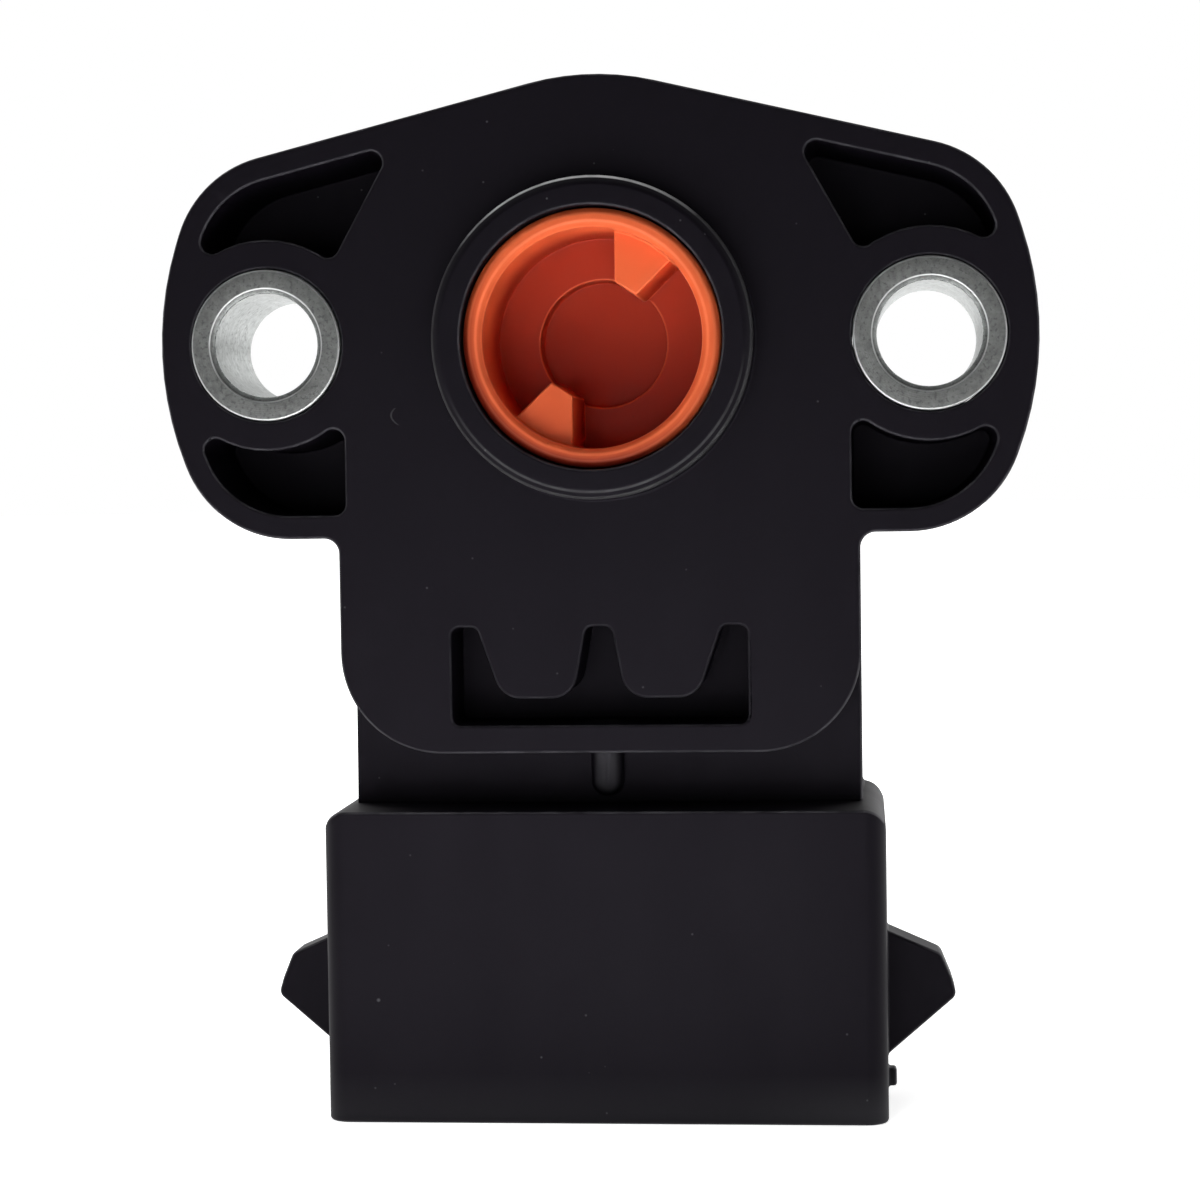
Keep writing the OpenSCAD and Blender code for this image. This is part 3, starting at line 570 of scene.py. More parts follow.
@dataclass(frozen=True)
class PrintedLayer(Finish):
    """A fired or printed layer on the board, or the ceramic itself."""

    colour: Colour = (0.80, 0.79, 0.75)
    roughness: float = 0.55
    metallic: float = 0.0
    grit: float = 0.10 * MM

    def paint(self, graph: Graph) -> dict[str, Value]:
        """An even colour with a fine grit in colour, gloss and relief.

        Args:
            graph: The material's graph.

        Returns:
            The surface's values and wires, by socket.
        """
        at = graph.place()
        grit = graph.noise(at, 1 / self.grit, 3.0, 0.6)
        clouds = graph.noise(at, 350, 2.0)
        return {
            "Base Color": graph.shade(self.colour, 0.86 + grit * 0.18 + clouds * 0.10),
            "Metallic": self.metallic,
            "Roughness": self.roughness + (grit - 0.5) * 0.2,
            "Normal": graph.bump(grit, 0.006 * MM, 0.5),
        }


@dataclass(frozen=True)
class PouredCompound(Finish):
    """Black sealing compound or rubber, from glossy to dull."""

    colour: Colour = (0.0065, 0.0062, 0.0070)
    roughness: float = 0.17
    ripple: float = 2.6 * MM
    dust: Colour = (0.14, 0.14, 0.14)
    shine: float = 0.42

    def paint(self, graph: Graph) -> dict[str, Value]:
        """Near black with slow ripples, small trapped bubbles and a little dust.

        Args:
            graph: The material's graph.

        Returns:
            The surface's values and wires, by socket.
        """
        at = graph.place()
        ripples = graph.noise(at, 1 / self.ripple, 3.0)
        bubbles = graph.specks(at, 1.6 * MM, 0.13 * MM, 0.35)
        dust = graph.specks(at, 1.1 * MM, 0.05 * MM, 0.4)
        return {
            "Base Color": graph.tint((dust * 0.4).held(), self.colour, self.dust),
            "Roughness": self.roughness + ripples * 0.14 + dust * 0.3,
            "Specular IOR Level": self.shine,
            "Normal": graph.bump(ripples - bubbles * 0.6, 0.05 * MM, 0.6),
        }


HOUSING_PLASTIC = MouldedPlastic("black_moulded_plastic", "housing_plastic", ring=8.4 * MM)
COVER_PLASTIC = MouldedPlastic(
    "black_cover_plastic", "cover_plastic", colour=(0.0045, 0.0042, 0.0052), roughness=0.42,
    grain=0.24 * MM, dust=0.35,
)
ROTOR_PLASTIC = RotorPlastic("orange_rotor_plastic", "rotor_plastic")
SEAL_RUBBER = PouredCompound("seal_rubber_black", "seal_rubber", roughness=0.5, ripple=0.6 * MM)
SEALANT = PouredCompound("black_sealing_compound", "sealant")
SPRING_STEEL = StampedMetal("drawn_spring_steel", "spring_steel", Metal.SPRING_STEEL)
CONTACT_BRONZE = StampedMetal("stamped_bronze", "contact_bronze", Metal.BRONZE)
TERMINAL_BRASS = StampedMetal("tinned_brass", "terminal_brass", Metal.TINNED_BRASS, roughness=0.24)
CERAMIC = PrintedLayer("fired_ceramic", "board_ceramic")
TRACK_INK = PrintedLayer("resistive_ink", "track_ink", (0.020, 0.020, 0.022), 0.48)
TRACE_SILVER = PrintedLayer("silver_ink", "trace_silver", Metal.SILVER_INK.value, 0.42, 0.75)


# Meshes


def skeleton(mesh: bpy.types.Mesh) -> tuple[np.ndarray, np.ndarray]:
    """Reads a mesh's bare bones.

    Args:
        mesh: The mesh.

    Returns:
        Each vertex's place, and each edge's two vertices.
    """
    place, ends = np.empty((len(mesh.vertices), 3)), np.empty((len(mesh.edges), 2), int)
    mesh.vertices.foreach_get("co", place.reshape(-1))
    mesh.edges.foreach_get("vertices", ends.reshape(-1))
    return place, ends


def placed(name: str, data: bpy.types.ID) -> bpy.types.Object:
    """Puts a mesh, a lamp or a camera into the scene, at the origin and unturned.

    Args:
        name: The object's name.
        data: What the object shows.

    Returns:
        The object.
    """
    thing = bpy.data.objects.new(name, data)
    bpy.context.scene.collection.objects.link(thing)
    return thing


def facing_out(shell: bmesh.types.BMesh) -> None:
    """Merges doubles and turns every face of a closed shell outwards."""
    bmesh.ops.remove_doubles(shell, verts=shell.verts, dist=MERGE / 2)
    bmesh.ops.recalc_face_normals(shell, faces=shell.faces)


def grid_faces(rows: int, columns: int, wrap_rows: bool) -> np.ndarray:
    """The quads of a grid of points, whose last column joins the first.

    Args:
        rows: Number of points along the first parameter.
        columns: Number of points along the second.
        wrap_rows: Whether the last row joins the first.

    Returns:
        An array of four indices for each quad.
    """
    last = rows if wrap_rows else rows - 1
    i, j = np.meshgrid(np.arange(last), np.arange(columns), indexing="ij")
    after_i, after_j = (i + 1) % rows, (j + 1) % columns
    corners = [i * columns + j, after_i * columns + j, after_i * columns + after_j,
               i * columns + after_j]
    return np.stack([c.ravel() for c in corners], axis=1)


def surface(
    name: str,
    points: np.ndarray,
    wrap_rows: bool = False,
    marks: Optional[dict[str, np.ndarray]] = None,
) -> bpy.types.Object:
    """A mesh object from a grid of points, whose last column joins the first.

    Args:
        name: The object's name.
        points: Array of rows by columns by three coordinates.
        wrap_rows: Whether the last row joins the first.
        marks: Numbers that each row carries for the materials, by attribute.

    Returns:
        The object, closed, with its faces pointing outwards.
    """
    rows, columns = points.shape[:2]
    quads = grid_faces(rows, columns, wrap_rows)
    mesh = bpy.data.meshes.new(name)
    mesh.from_pydata(points.reshape(-1, 3), [], quads.tolist())
    for mark, values in (marks or {}).items():
        layer = mesh.attributes.new(mark, "FLOAT", "POINT")
        layer.data.foreach_set("value", np.repeat(values, columns).astype(np.float32))
    shell = bmesh.new()
    shell.from_mesh(mesh)
    facing_out(shell)
    shell.to_mesh(mesh)
    shell.free()
    return placed(name, mesh)


def smooth(thing: bpy.types.Object, crease_degrees: float = 34.0) -> None:
    """Shades a piece smooth, keeps its creases, and keeps its flat faces flat.

    Args:
        thing: The piece.
        crease_degrees: Angle between two faces from which their edge is a crease.
    """
    thing.data.shade_smooth()
    thing.data.set_sharp_from_angle(angle=math.radians(crease_degrees))
    weights = thing.modifiers.new("flat_faces", "WEIGHTED_NORMAL")
    weights.keep_sharp = True
    weights.weight = 80


def rounded_profile(corners: Iterable[tuple[float, float, float]], steps: int = 4) -> np.ndarray:
    """A closed profile whose corners are rounded.

    Each corner (a, b, radius) is cut back by the radius along both sides, and a quadratic
    curve through the two cuts, with the corner as its control point, rounds it.

    Args:
        corners: The corners with their radii, in order.
        steps: Number of parts of each rounding.

    Returns:
        Array of points by two.
    """
    given = np.array(list(corners), float)
    point, radius = given[:, :2], given[:, 2]
    before, after = np.roll(point, 1, 0) - point, np.roll(point, -1, 0) - point
    start = point + before / np.linalg.norm(before, axis=1)[:, None] * radius[:, None]
    end = point + after / np.linalg.norm(after, axis=1)[:, None] * radius[:, None]
    t = np.linspace(0, 1, steps + 1)[None, :, None]
    curve = (1 - t) ** 2 * start[:, None] + 2 * t * (1 - t) * point[:, None] + t**2 * end[:, None]
    return curve.reshape(-1, 2)


def turned(
    name: str,
    profile: np.ndarray,
    centre: tuple[float, float] = (0.0, 0.0),
    sides: int = 96,
    marks: Optional[dict[str, np.ndarray]] = None,
) -> bpy.types.Object:
    """A closed profile turned round an axis parallel to Y.

    A point (r, y) of the profile goes to centre + r (cos a, sin a) in the XZ plane, at y.

    Args:
        name: The object's name.
        profile: Points by (radius, y).
        centre: The axis's X and Z.
        sides: Number of steps round the axis.
        marks: Numbers that each point of the profile carries, by attribute.

    Returns:
        The turned object.
    """
    angle = np.arange(sides) * TAU / sides
    r, y = profile[:, 0, None], profile[:, 1, None]
    points = np.stack(
        [centre[0] + r * np.cos(angle), y + 0 * angle, centre[1] + r * np.sin(angle)], axis=-1
    )
    return surface(name, points, wrap_rows=True, marks=marks)


def tube(name: str, route: np.ndarray, radius: np.ndarray, sides: int = 12) -> bpy.types.Object:
    """A round tube whose circles stand square to its route.

    At each point the route's direction w is the central difference, n is the part of the
    direction away from the Y axis that is square to w, and the circle is
    route + radius (n cos a + (w x n) sin a).

    Args:
        name: The object's name.
        route: Points by three.
        radius: The tube's radius at each point, which is zero at a closed end.
        sides: Number of steps round the tube.

    Returns:
        The tube.
    """
    way = np.gradient(route, axis=0)
    way /= np.linalg.norm(way, axis=1)[:, None]
    out = route * np.array([1.0, 0.0, 1.0])
    out -= way * np.sum(out * way, axis=1)[:, None]
    out /= np.linalg.norm(out, axis=1)[:, None]
    over = np.cross(way, out)
    angle = (np.arange(sides) * TAU / sides)[None, :, None]
    ring = out[:, None] * np.cos(angle) + over[:, None] * np.sin(angle)
    return surface(name, route[:, None] + radius[:, None, None] * ring)


@dataclass(frozen=True)
class Seam:
    """A flat step's inner edge that runs out to nothing along an outer edge."""

    depth: float
    height: float
    tolerance: float = 0.01 * MM

    def holds(self, part: Union[bmesh.types.BMEdge, bmesh.types.BMFace]) -> bool:
        """Whether an edge or a face lies wholly in the seam's plane."""
        return all(abs(v.co.y - self.depth) < self.tolerance for v in part.verts)

    def cut_tips(self, shell: bmesh.types.BMesh) -> None:
        """Cuts the step's faces across, below the points in which they run out.

        Args:
            shell: The shell that has the step.
        """
        faces = [f for f in shell.faces if self.holds(f)]
        geometry = {part for f in faces for part in (f, *f.edges, *f.verts)}
        bmesh.ops.bisect_plane(
            shell, geom=list(geometry), dist=1e-7, plane_co=(0.0, 0.0, self.height),
            plane_no=(0.0, 0.0, 1.0),
        )

    def keep_flat(self, mesh: bpy.types.Mesh) -> None:
        """Marks the edges in the seam's plane sharp, so that its faces shade flat.

        Args:
            mesh: The finished mesh.
        """
        place, ends = skeleton(mesh)
        inside = np.abs(place[:, 1] - self.depth) < self.tolerance
        sharp = np.empty(len(ends), bool)
        mesh.edges.foreach_get("use_edge_sharp", sharp)
        mesh.edges.foreach_set("use_edge_sharp", sharp | inside[ends].all(axis=1))


@dataclass(frozen=True)
class RoundedCopy:
    """A construction node copied, with its edges rounded as a mould or a press leaves them."""

    node: str
    radius: float
    segments: int = 3
    sharp_degrees: float = 33.0
    seam: Optional[Seam] = None
    flat_degrees: float = 0.8

    def build(self, name: str) -> bpy.types.Object:
        """Merges the node's triangles, joins the flat ones and rounds the sharp edges.

        Args:
            name: The new object's name.

        Returns:
            The copy, with the rounded edges marked in its rounded_edge attribute.
        """
        shell = bmesh.new()
        shell.from_mesh(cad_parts[self.node].data)
        bmesh.ops.remove_doubles(shell, verts=shell.verts, dist=MERGE)
        flat, limit = math.radians(self.flat_degrees), math.radians(self.sharp_degrees)
        bmesh.ops.dissolve_limit(shell, angle_limit=flat, verts=shell.verts, edges=shell.edges)
        if self.seam:
            self.seam.cut_tips(shell)
        sharp = [e for e in shell.edges if e.is_manifold and e.calc_face_angle(0.0) > limit
                 and not (self.seam and self.seam.holds(e) and not e.is_convex)]
        rounded = bmesh.ops.bevel(
            shell, geom=sharp, offset=self.radius, offset_type="OFFSET", profile=0.5,
            segments=self.segments, affect="EDGES", clamp_overlap=False, loop_slide=True,
        )
        fresh = set(rounded["faces"])
        pale_edge = np.array([all(f in fresh for f in v.link_faces) for v in shell.verts], float)
        mesh = bpy.data.meshes.new(name)
        shell.to_mesh(mesh)
        shell.free()
        layer = mesh.attributes.new("rounded_edge", "FLOAT", "POINT")
        layer.data.foreach_set("value", (pale_edge * convexity(mesh)).astype(np.float32))
        thing = placed(name, mesh)
        smooth(thing)
        if self.seam:
            self.seam.keep_flat(mesh)
        return thing

    def piece(self, name: str, finish: Finish, body: str) -> bpy.types.Object:
        """Builds the copy and dresses it, so that it stands for its node."""
        return dress(self.build(name), finish, body, [self.node])


def convexity(mesh: bpy.types.Mesh) -> np.ndarray:
    """Where a mesh bulges: 1 at vertices that stand out of their neighbours' mean, else 0.

    For each vertex the mean of the steps to its neighbours is compared with its normal: on a
    bulge the step points against the normal.

    Args:
        mesh: The mesh.

    Returns:
        One number for each vertex.
    """
    place, ends = skeleton(mesh)
    normal = np.empty_like(place)
    mesh.vertices.foreach_get("normal", normal.reshape(-1))
    step = place[ends[:, 1]] - place[ends[:, 0]]
    step /= np.maximum(np.linalg.norm(step, axis=1), 1e-9)[:, None]
    total = np.zeros_like(place)
    np.add.at(total, ends[:, 0], step)
    np.add.at(total, ends[:, 1], -step)
    return (np.sum(total * normal, axis=1) < -0.05).astype(float)


# Sub-assemblies


def dress(
    thing: bpy.types.Object, finish: Finish, body: str, replaced: Iterable[str] = ()
) -> bpy.types.Object:
    """Gives a new piece its finish, its body and the nodes that it stands for.

    Args:
        thing: The piece.
        finish: Its finish.
        body: The body that it moves with.
        replaced: The construction nodes that it stands for.

    Returns:
        The piece.
    """
    thing.data.materials.clear()
    thing.data.materials.append(finish.material())
    if replaced:
        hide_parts(*replaced)
    if body:
        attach(thing, body)
    LOG.info("%s: %d faces, %s", thing.name, len(thing.data.polygons), finish.name)
    return thing


def dress_node(node: str, finish: Finish) -> None:
    """Gives a carried-over construction node a better material in its object's own slot.

    Args:
        node: The node's name.
        finish: Its finish.
    """
    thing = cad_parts[node]
    for holder in thing.material_slots:
        holder.link = "OBJECT"
        holder.material = finish.material()
    LOG.info("%s: carried over, %s", node, finish.name)


@dataclass
class Housing:
    """The moulded housing with its ears, pilot boss, face plate, body and plug shroud."""

    edge: float = 0.17 * MM
    neck: Seam = Seam(SEAT + 4.5 * MM, -18.0 * MM)

    def build(self) -> bpy.types.Object:
        """The housing with rounded edges."""
        copy = RoundedCopy("housing", self.edge, seam=self.neck)
        return copy.piece("housing_moulding", HOUSING_PLASTIC, "housing")


@dataclass
class MountingSleeve:
    """A turned steel tube that takes a mounting screw."""

    side: str
    centre_x: float
    bore_radius: float = 2.75 * MM
    outer_radius: float = 4.0 * MM
    front: float = 0.0
    back: float = 9.3 * MM
    mouth: float = 0.25 * MM
    edge: float = 0.12 * MM
    mouth_edge: float = 0.06 * MM

    def build(self) -> bpy.types.Object:
        """The tube turned from one closed profile, its mouths chamfered.

        Returns:
            The sleeve.
        """
        r, w, m, e, f = (
            self.bore_radius, self.outer_radius, self.mouth, self.edge, self.mouth_edge
        )
        corners = [
            (r, self.front + m, f), (r + m, self.front, f), (w, self.front, e),
            (w, self.back, e), (r + m, self.back, f), (r, self.back - m, f),
        ]
        profile = rounded_profile(corners)
        marks = {
            "rounded_edge": np.tile(np.array([0.0, 1.0, 1.0, 1.0, 0.0]), len(corners)),
            "bore": (profile[:, 0] < r + m / 2).astype(float),
        }
        node = f"mounting_sleeve_{self.side}"
        thing = turned(f"turned_sleeve_{self.side}", profile, (self.centre_x, 0.0), 128, marks)
        smooth(thing)
        finish = SleeveMetal(f"plated_steel_{self.side}", "sleeve_metal", (self.centre_x, 0.0))
        return dress(thing, finish, "housing", [node])


@dataclass
class RotorGroup:
    """The orange rotor with its drive cup, and the wiper staked to its disc."""

    edge: float = 0.12 * MM
    wiper_edge: float = 0.04 * MM

    def build(self) -> list[bpy.types.Object]:
        """Builds the rotor and the wiper, both riding on the rotor's body.

        Returns:
            The two pieces.
        """
        rotor, wiper = RoundedCopy("rotor", self.edge), RoundedCopy("wiper", self.wiper_edge, 2)
        return [
            rotor.piece("rotor_moulding", ROTOR_PLASTIC, "rotor"),
            wiper.piece("wiper_stamping", CONTACT_BRONZE, "rotor"),
        ]


@dataclass
class ReturnSpring:
    """The torsion spring: a leg into the housing, two and a half coils, a leg into the disc."""

    coil_radius: float = 8.4 * MM
    wire_radius: float = 0.3 * MM
    turns: float = 2.5
    first_angle: float = math.radians(200)
    leg_front: float = SEAT + 5.3 * MM
    coil_front: float = SEAT + 6.75 * MM
    coil_back: float = SEAT + 8.75 * MM
    leg_back: float = SEAT + 10.2 * MM

    def route(self) -> np.ndarray:
        """The wire's middle line: straight leg, helix, straight leg.

        On the helix the angle falls by a full turn for each turn of the wire while y rises
        evenly. The first and last points are doubled, so that the wire's ends close.

        Returns:
            Points by three.
        """
        t = np.linspace(0, 1, int(self.turns * 48) + 1)
        angle = self.first_angle - TAU * self.turns * t
        y = self.coil_front + (self.coil_back - self.coil_front) * t
        coil = np.stack(
            [self.coil_radius * np.cos(angle), y, self.coil_radius * np.sin(angle)], axis=1
        )
        first, last = coil[0] * [1, 0, 1], coil[-1] * [1, 0, 1]
        bend = self.wire_radius
        front = [self.leg_front, self.leg_front + 1e-6, self.coil_front - bend]
        back = [self.coil_back + bend, self.leg_back - 1e-6, self.leg_back]
        legs = [first + [0, y, 0] for y in front], [last + [0, y, 0] for y in back]
        return np.concatenate([np.array(legs[0]), coil[1:-1], np.array(legs[1])])

    def build(self) -> bpy.types.Object:
        """The wire between the housing and the rotor. The real spring winds up as the rotor turns;
        this piece rides on no body and stays still.

        Returns:
            The spring.
        """
        route = self.route()
        radius = np.full(len(route), self.wire_radius)
        radius[[0, -1]] = 0.0
        thing = tube("wound_return_spring", route, radius)
        thing.data.shade_smooth()
        dress(thing, SPRING_STEEL, "", ["return_spring"])
        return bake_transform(thing)


@dataclass
class Seal:
    """The rubber ring round the rotor's barrel."""

    ring_radius: float = 7.39 * MM
    section_radius: float = 0.6 * MM
    depth: float = SEAT + 3.15 * MM

    def build(self) -> bpy.types.Object:
        """A torus: a circle of the section's radius turned round the rotor's axis.

        Returns:
            The seal.
        """
        angle = np.arange(28) * TAU / 28
        circle = np.stack(
            [self.ring_radius + self.section_radius * np.cos(angle),
             self.depth + self.section_radius * np.sin(angle)], axis=1,
        )
        thing = turned("rubber_seal_ring", circle, sides=128)
        thing.data.shade_smooth()
        return dress(thing, SEAL_RUBBER, "housing", ["rotor_seal"])


@dataclass
class CoverGroup:
    """The back cover and the bead of compound that seals it into the housing."""

    edge: float = 0.15 * MM
    circle_radius: float = 10.5 * MM
    half_width: float = 12.0 * MM
    bottom: float = 22.65 * MM
    top: float = 7.50 * MM
    inner_grow: float = -0.31 * MM
    outer_grow: float = 0.86 * MM
    bead_front: float = SEAT + 16.0 * MM
    bead_back: float = SEAT + 16.95 * MM
    sag: float = 0.16 * MM

    def outline(self, grow: np.ndarray) -> np.ndarray:
        """The chamber's outline, grown by each of the given distances.

        A circle about the rotor's axis meets a box below it. From the meeting point on the
        right the outline runs round the circle's top, and then along the box's five straight
        parts back to that point.

        Args:
            grow: Distances by which the outline is moved outwards.

        Returns:
            Array of points round the outline by distances by two.
        """
        r = self.circle_radius + grow
        side, low = self.half_width + grow, -self.bottom - grow
        high = -self.top + grow
        meet = np.arcsin(high / r)
        t = np.linspace(0, 1, 120)[:, None]
        angle = meet + (math.pi - 2 * meet) * t
        stops = [
            (-r * np.cos(meet), high), (-side, high), (-side, low), (side, low), (side, high),
            (r * np.cos(meet), high),
        ]
        parts = [np.stack([r * np.cos(angle), r * np.sin(angle)], axis=-1)]
        for (x0, y0), (x1, y1), count in zip(stops, stops[1:], (4, 40, 60, 40, 4)):
            s = (np.arange(1, count) / count)[:, None]
            ends = np.stack([x0 + (x1 - x0) * s, y0 + (y1 - y0) * s + 0 * x0], axis=-1)
            corner = np.stack([x1 + 0 * grow, y1 + 0 * grow], axis=-1)[None]
            parts += [ends, corner]
        return np.concatenate(parts)[:-1]

    def build_bead(self) -> bpy.types.Object:
        """The bead: a meniscus that climbs a little at both walls, with a slow ripple.

        Across the bead, v goes from -1 to 1 and its surface lies sag (1 - v^2) below the
        walls' height. Along it the height follows three sines of the place, so the ripple
        has no seam.

        Returns:
            The bead.
        """
        v = np.linspace(-1, 1, 9)
        grow = self.inner_grow + (self.outer_grow - self.inner_grow) * (v + 1) / 2
        top = self.outline(grow)
        x, z = top[..., 0] / MM, top[..., 1] / MM
        ripple = np.sin(0.9 * x + 0.4 * z) + np.sin(0.7 * z - 1.3 * x) + np.sin(1.9 * z + 0.6)
        height = self.bead_back - self.sag * (1 - v**2) + 0.018 * MM * ripple * (1 - v**4)
        lid = np.stack([top[..., 0], height, top[..., 1]], axis=-1)
        foot = self.outline(grow[[-1, 0]])
        floor = np.stack(
            [foot[..., 0], np.full(foot.shape[:2], self.bead_front), foot[..., 1]], axis=-1
        )
        thing = surface("sealant_bead", np.concatenate([lid, floor], axis=1), wrap_rows=True)
        smooth(thing, 50)
        return dress(thing, SEALANT, "housing", ["cover_sealant"])

    def build(self) -> list[bpy.types.Object]:
        """The cover and its bead."""
        cover = RoundedCopy("back_cover", self.edge)
        return [cover.piece("back_cover_moulding", COVER_PLASTIC, "housing"), self.build_bead()]


@dataclass
class Terminals:
    """The three blades with their contact springs."""

    names: tuple[str, ...] = ("left", "centre", "right")
    blade_edge: float = 0.12 * MM
    strip_edge: float = 0.03 * MM

    def build(self) -> list[bpy.types.Object]:
        """Builds the blades and springs with the soft edges of stamped strip.

        Returns:
            The six pieces.
        """
        made = []
        for name in self.names:
            blade = RoundedCopy(f"terminal_{name}", self.blade_edge)
            made.append(blade.piece(f"blade_{name}", TERMINAL_BRASS, "housing"))
            strip = RoundedCopy(f"contact_spring_{name}", self.strip_edge, 2)
            made.append(strip.piece(f"strip_{name}", CONTACT_BRONZE, "housing"))
        return made


@dataclass
class Board:
    """The ceramic board with its printed layers, and the thrust washer."""

    finishes: dict[str, Finish] = field(default_factory=lambda: {
        "resistor_track": TRACK_INK,
        "collector_track": TRACE_SILVER,
        "conductor_traces": TRACE_SILVER,
    })
    board_edge: float = 0.08 * MM
    washer_edge: float = 0.05 * MM

    def build(self) -> list[bpy.types.Object]:
        """Builds the board and the washer with soft edges, and paints the thin layers.

        Returns:
            The board and the washer.
        """
        for node, finish in self.finishes.items():
            dress_node(node, finish)
        board = RoundedCopy("resistor_board", self.board_edge, 2)
        washer = RoundedCopy("thrust_washer", self.washer_edge, 2)
        return [
            board.piece("ceramic_board", CERAMIC, "housing"),
            washer.piece("steel_washer", SPRING_STEEL, "housing"),
        ]


# Studio


@dataclass(frozen=True)
class Lamp:
    """A soft square lamp that faces the sensor, or a point of its own."""

    name: str
    place: Colour
    size: float
    level: float
    target: Optional[Colour] = None
    spread_degrees: float = 180.0

    def build(self, aim: Vector) -> None:
        """Hangs the lamp so that it gives a white surface this level at the sensor.

        An even lamp of power P lights a facing surface at distance d with P / (pi d^2), and
        a white one then shows 1 / pi of that, so P = level pi^2 d^2.

        Args:
            aim: The point that it faces.
        """
        place = Vector(self.place)
        aim = Vector(self.target) if self.target else aim
        data = bpy.data.lights.new(self.name, "AREA")
        data.shape, data.size = "SQUARE", self.size
        data.spread = math.radians(self.spread_degrees)
        data.energy = self.level * math.pi**2 * (aim - place).length_squared
        lamp = placed(self.name, data)
        lamp.location = place
        lamp.rotation_mode = "QUATERNION"
        lamp.rotation_quaternion = (aim - place).to_track_quat("-Z", "Y")
        lamp.visible_camera = False


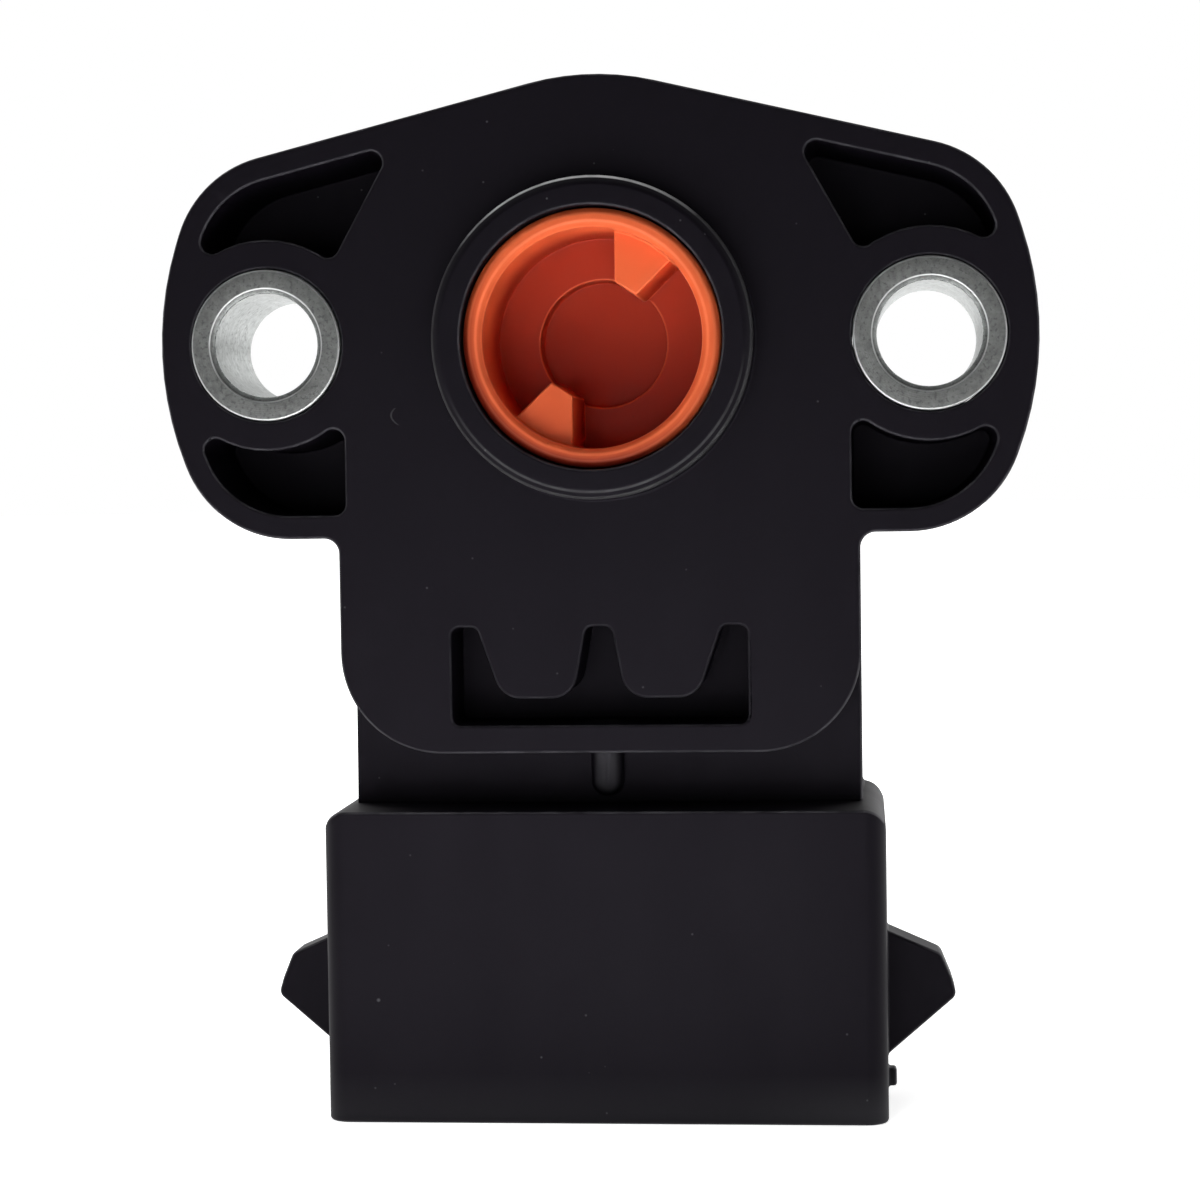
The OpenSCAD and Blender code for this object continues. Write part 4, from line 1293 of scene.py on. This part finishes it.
@dataclass
class Studio:
    """Pale floor, white surroundings, soft lamps and the camera."""

    ground: float = -41.6 * MM
    aim: Colour = (0.0, 0.008, -0.013)
    tent: float = 0.90
    opening: float = 0.02
    opening_mirror: float = 0.02
    opening_edge: tuple[float, float] = (0.10, 0.30)
    floor_white: float = 0.90
    bounce: float = 0.88
    glow: float = 0.62
    lamps: tuple[Lamp, ...] = (
        Lamp("key", (-0.20, -0.24, 0.36), 0.26, 0.07),
        Lamp("side", (0.38, -0.24, 0.10), 0.26, 0.03),
        Lamp("front", (-0.015, -0.16, -0.030), 0.04, 0.065),
        Lamp("floor_wash", (-0.01, -0.075, 0.12), 0.03, 0.34, (-0.01, -0.065, -0.0416), 46.0),
        Lamp("left", (-0.44, 0.08, 0.12), 0.30, 0.20),
        Lamp("right", (0.44, 0.06, 0.10), 0.30, 0.20),
        Lamp("back_left", (-0.30, 0.36, 0.22), 0.24, 0.24),
        Lamp("back_right", (0.28, 0.40, 0.16), 0.24, 0.20),
    )
    camera_place: Colour = (13.73 * MM, -146.56 * MM, -7.23 * MM)
    yaw: float = math.radians(-5.305)
    pitch: float = math.radians(-2.516)
    roll: float = math.radians(-0.837)
    lens: float = 83.97
    sensor: float = 36.0
    clip: tuple[float, float] = (0.005, 20.0)

    def build_floor(self) -> None:
        """A round pale floor: a fan of rings, level with the shroud's mouth."""
        angle = np.arange(64) * TAU / 64
        radius = np.array([0.0, 0.05, 0.2, 0.8, 3.0])[:, None]
        points = np.stack(
            [radius * np.cos(angle), radius * np.sin(angle),
             np.full((5, 64), self.ground)], axis=-1,
        )
        floor = surface("floor", points)
        if floor.data.polygons[0].normal.z < 0:
            floor.data.flip_normals()
        paint = bpy.data.materials.new("pale_floor")
        graph = Graph(paint)
        grain = graph.noise(graph.place(), 900, 2.0)
        seen = graph.seen_directly()
        level = self.bounce + seen * (self.floor_white - self.bounce)
        white = graph.shade((1.0, 1.0, 1.0), level * (0.985 + grain * 0.015))
        diffuse = graph.add("ShaderNodeBsdfDiffuse", {}, {"Color": white})
        away = graph.length(graph.place(stretch=(1.0, 1.0, 0.0))).above(0.12, 0.14)
        shown = seen * (self.glow + away * (1 - self.glow))
        glow = graph.add("ShaderNodeEmission", {}, {"Strength": shown})
        both = graph.add("ShaderNodeAddShader", {}, {0: diffuse, 1: glow})
        graph.add("ShaderNodeOutputMaterial", {}, {"Surface": both})
        floor.data.materials.append(paint)

    def build_world(self) -> None:
        """A white tent that is open towards the face, and white wherever it is seen.

        With f the mask of the opening, mirrored rays meet 1 - f (1 - opening_mirror) and
        scattered ones tent + f (opening - tent).
        """
        world = bpy.data.worlds.new("surroundings")
        bpy.context.scene.world = world
        graph = Graph(world)
        way = graph.add("ShaderNodeTexCoord", {}, {}, "Generated")
        front = (graph.split(way, "Y") * -1.0).above(*self.opening_edge)
        camera = graph.add("ShaderNodeLightPath", {}, {}, "Is Camera Ray")
        seen = (camera + camera.pick("Is Transmission Ray")).held()
        mirrored = camera.pick("Is Glossy Ray")
        scattered = self.tent + front * (self.opening - self.tent)
        reflected = 1.0 - front * (1.0 - self.opening_mirror)
        level = scattered + mirrored * (reflected - scattered)
        level = level + seen * (1.0 - level)
        sockets = {"Color": (1.0, 1.0, 1.0), "Strength": level}
        light = graph.add("ShaderNodeBackground", {}, sockets)
        graph.add("ShaderNodeOutputWorld", {}, {"Surface": light})

    def build_camera(self) -> None:
        """The camera at the photograph's angle.

        The view goes along (sin yaw cos pitch, cos yaw cos pitch, sin pitch), and roll then
        turns the picture about it.
        """
        cy, sy = math.cos(self.yaw), math.sin(self.yaw)
        cp, sp = math.cos(self.pitch), math.sin(self.pitch)
        forward = Vector((sy * cp, cy * cp, sp))
        level = Vector((cy, -sy, 0.0))
        upright = level.cross(forward)
        cr, sr = math.cos(self.roll), math.sin(self.roll)
        right, up = level * cr + upright * sr, upright * cr - level * sr
        data = bpy.data.cameras.new("camera")
        data.sensor_width, data.lens = self.sensor, self.lens
        data.clip_start, data.clip_end = self.clip
        camera = placed("camera", data)
        turn = Matrix((right, up, -forward)).transposed().to_4x4()
        camera.matrix_world = Matrix.Translation(Vector(self.camera_place)) @ turn
        bpy.context.scene.camera = camera

    def build(self) -> None:
        """Everything round the sensor."""
        self.build_floor()
        self.build_world()
        for lamp in self.lamps:
            lamp.build(Vector(self.aim))
        self.build_camera()
        bpy.context.scene.view_settings.view_transform = "Standard"


def main() -> None:
    """Builds the sensor piece by piece, then the studio."""
    logging.basicConfig(level=logging.INFO, format="%(message)s")
    Housing().build()
    MountingSleeve("left", -SLEEVE_X).build()
    MountingSleeve("right", SLEEVE_X).build()
    RotorGroup().build()
    Seal().build()
    ReturnSpring().build()
    Board().build()
    Terminals().build()
    CoverGroup().build()
    Studio().build()


if __name__ == "__main__":
    main()
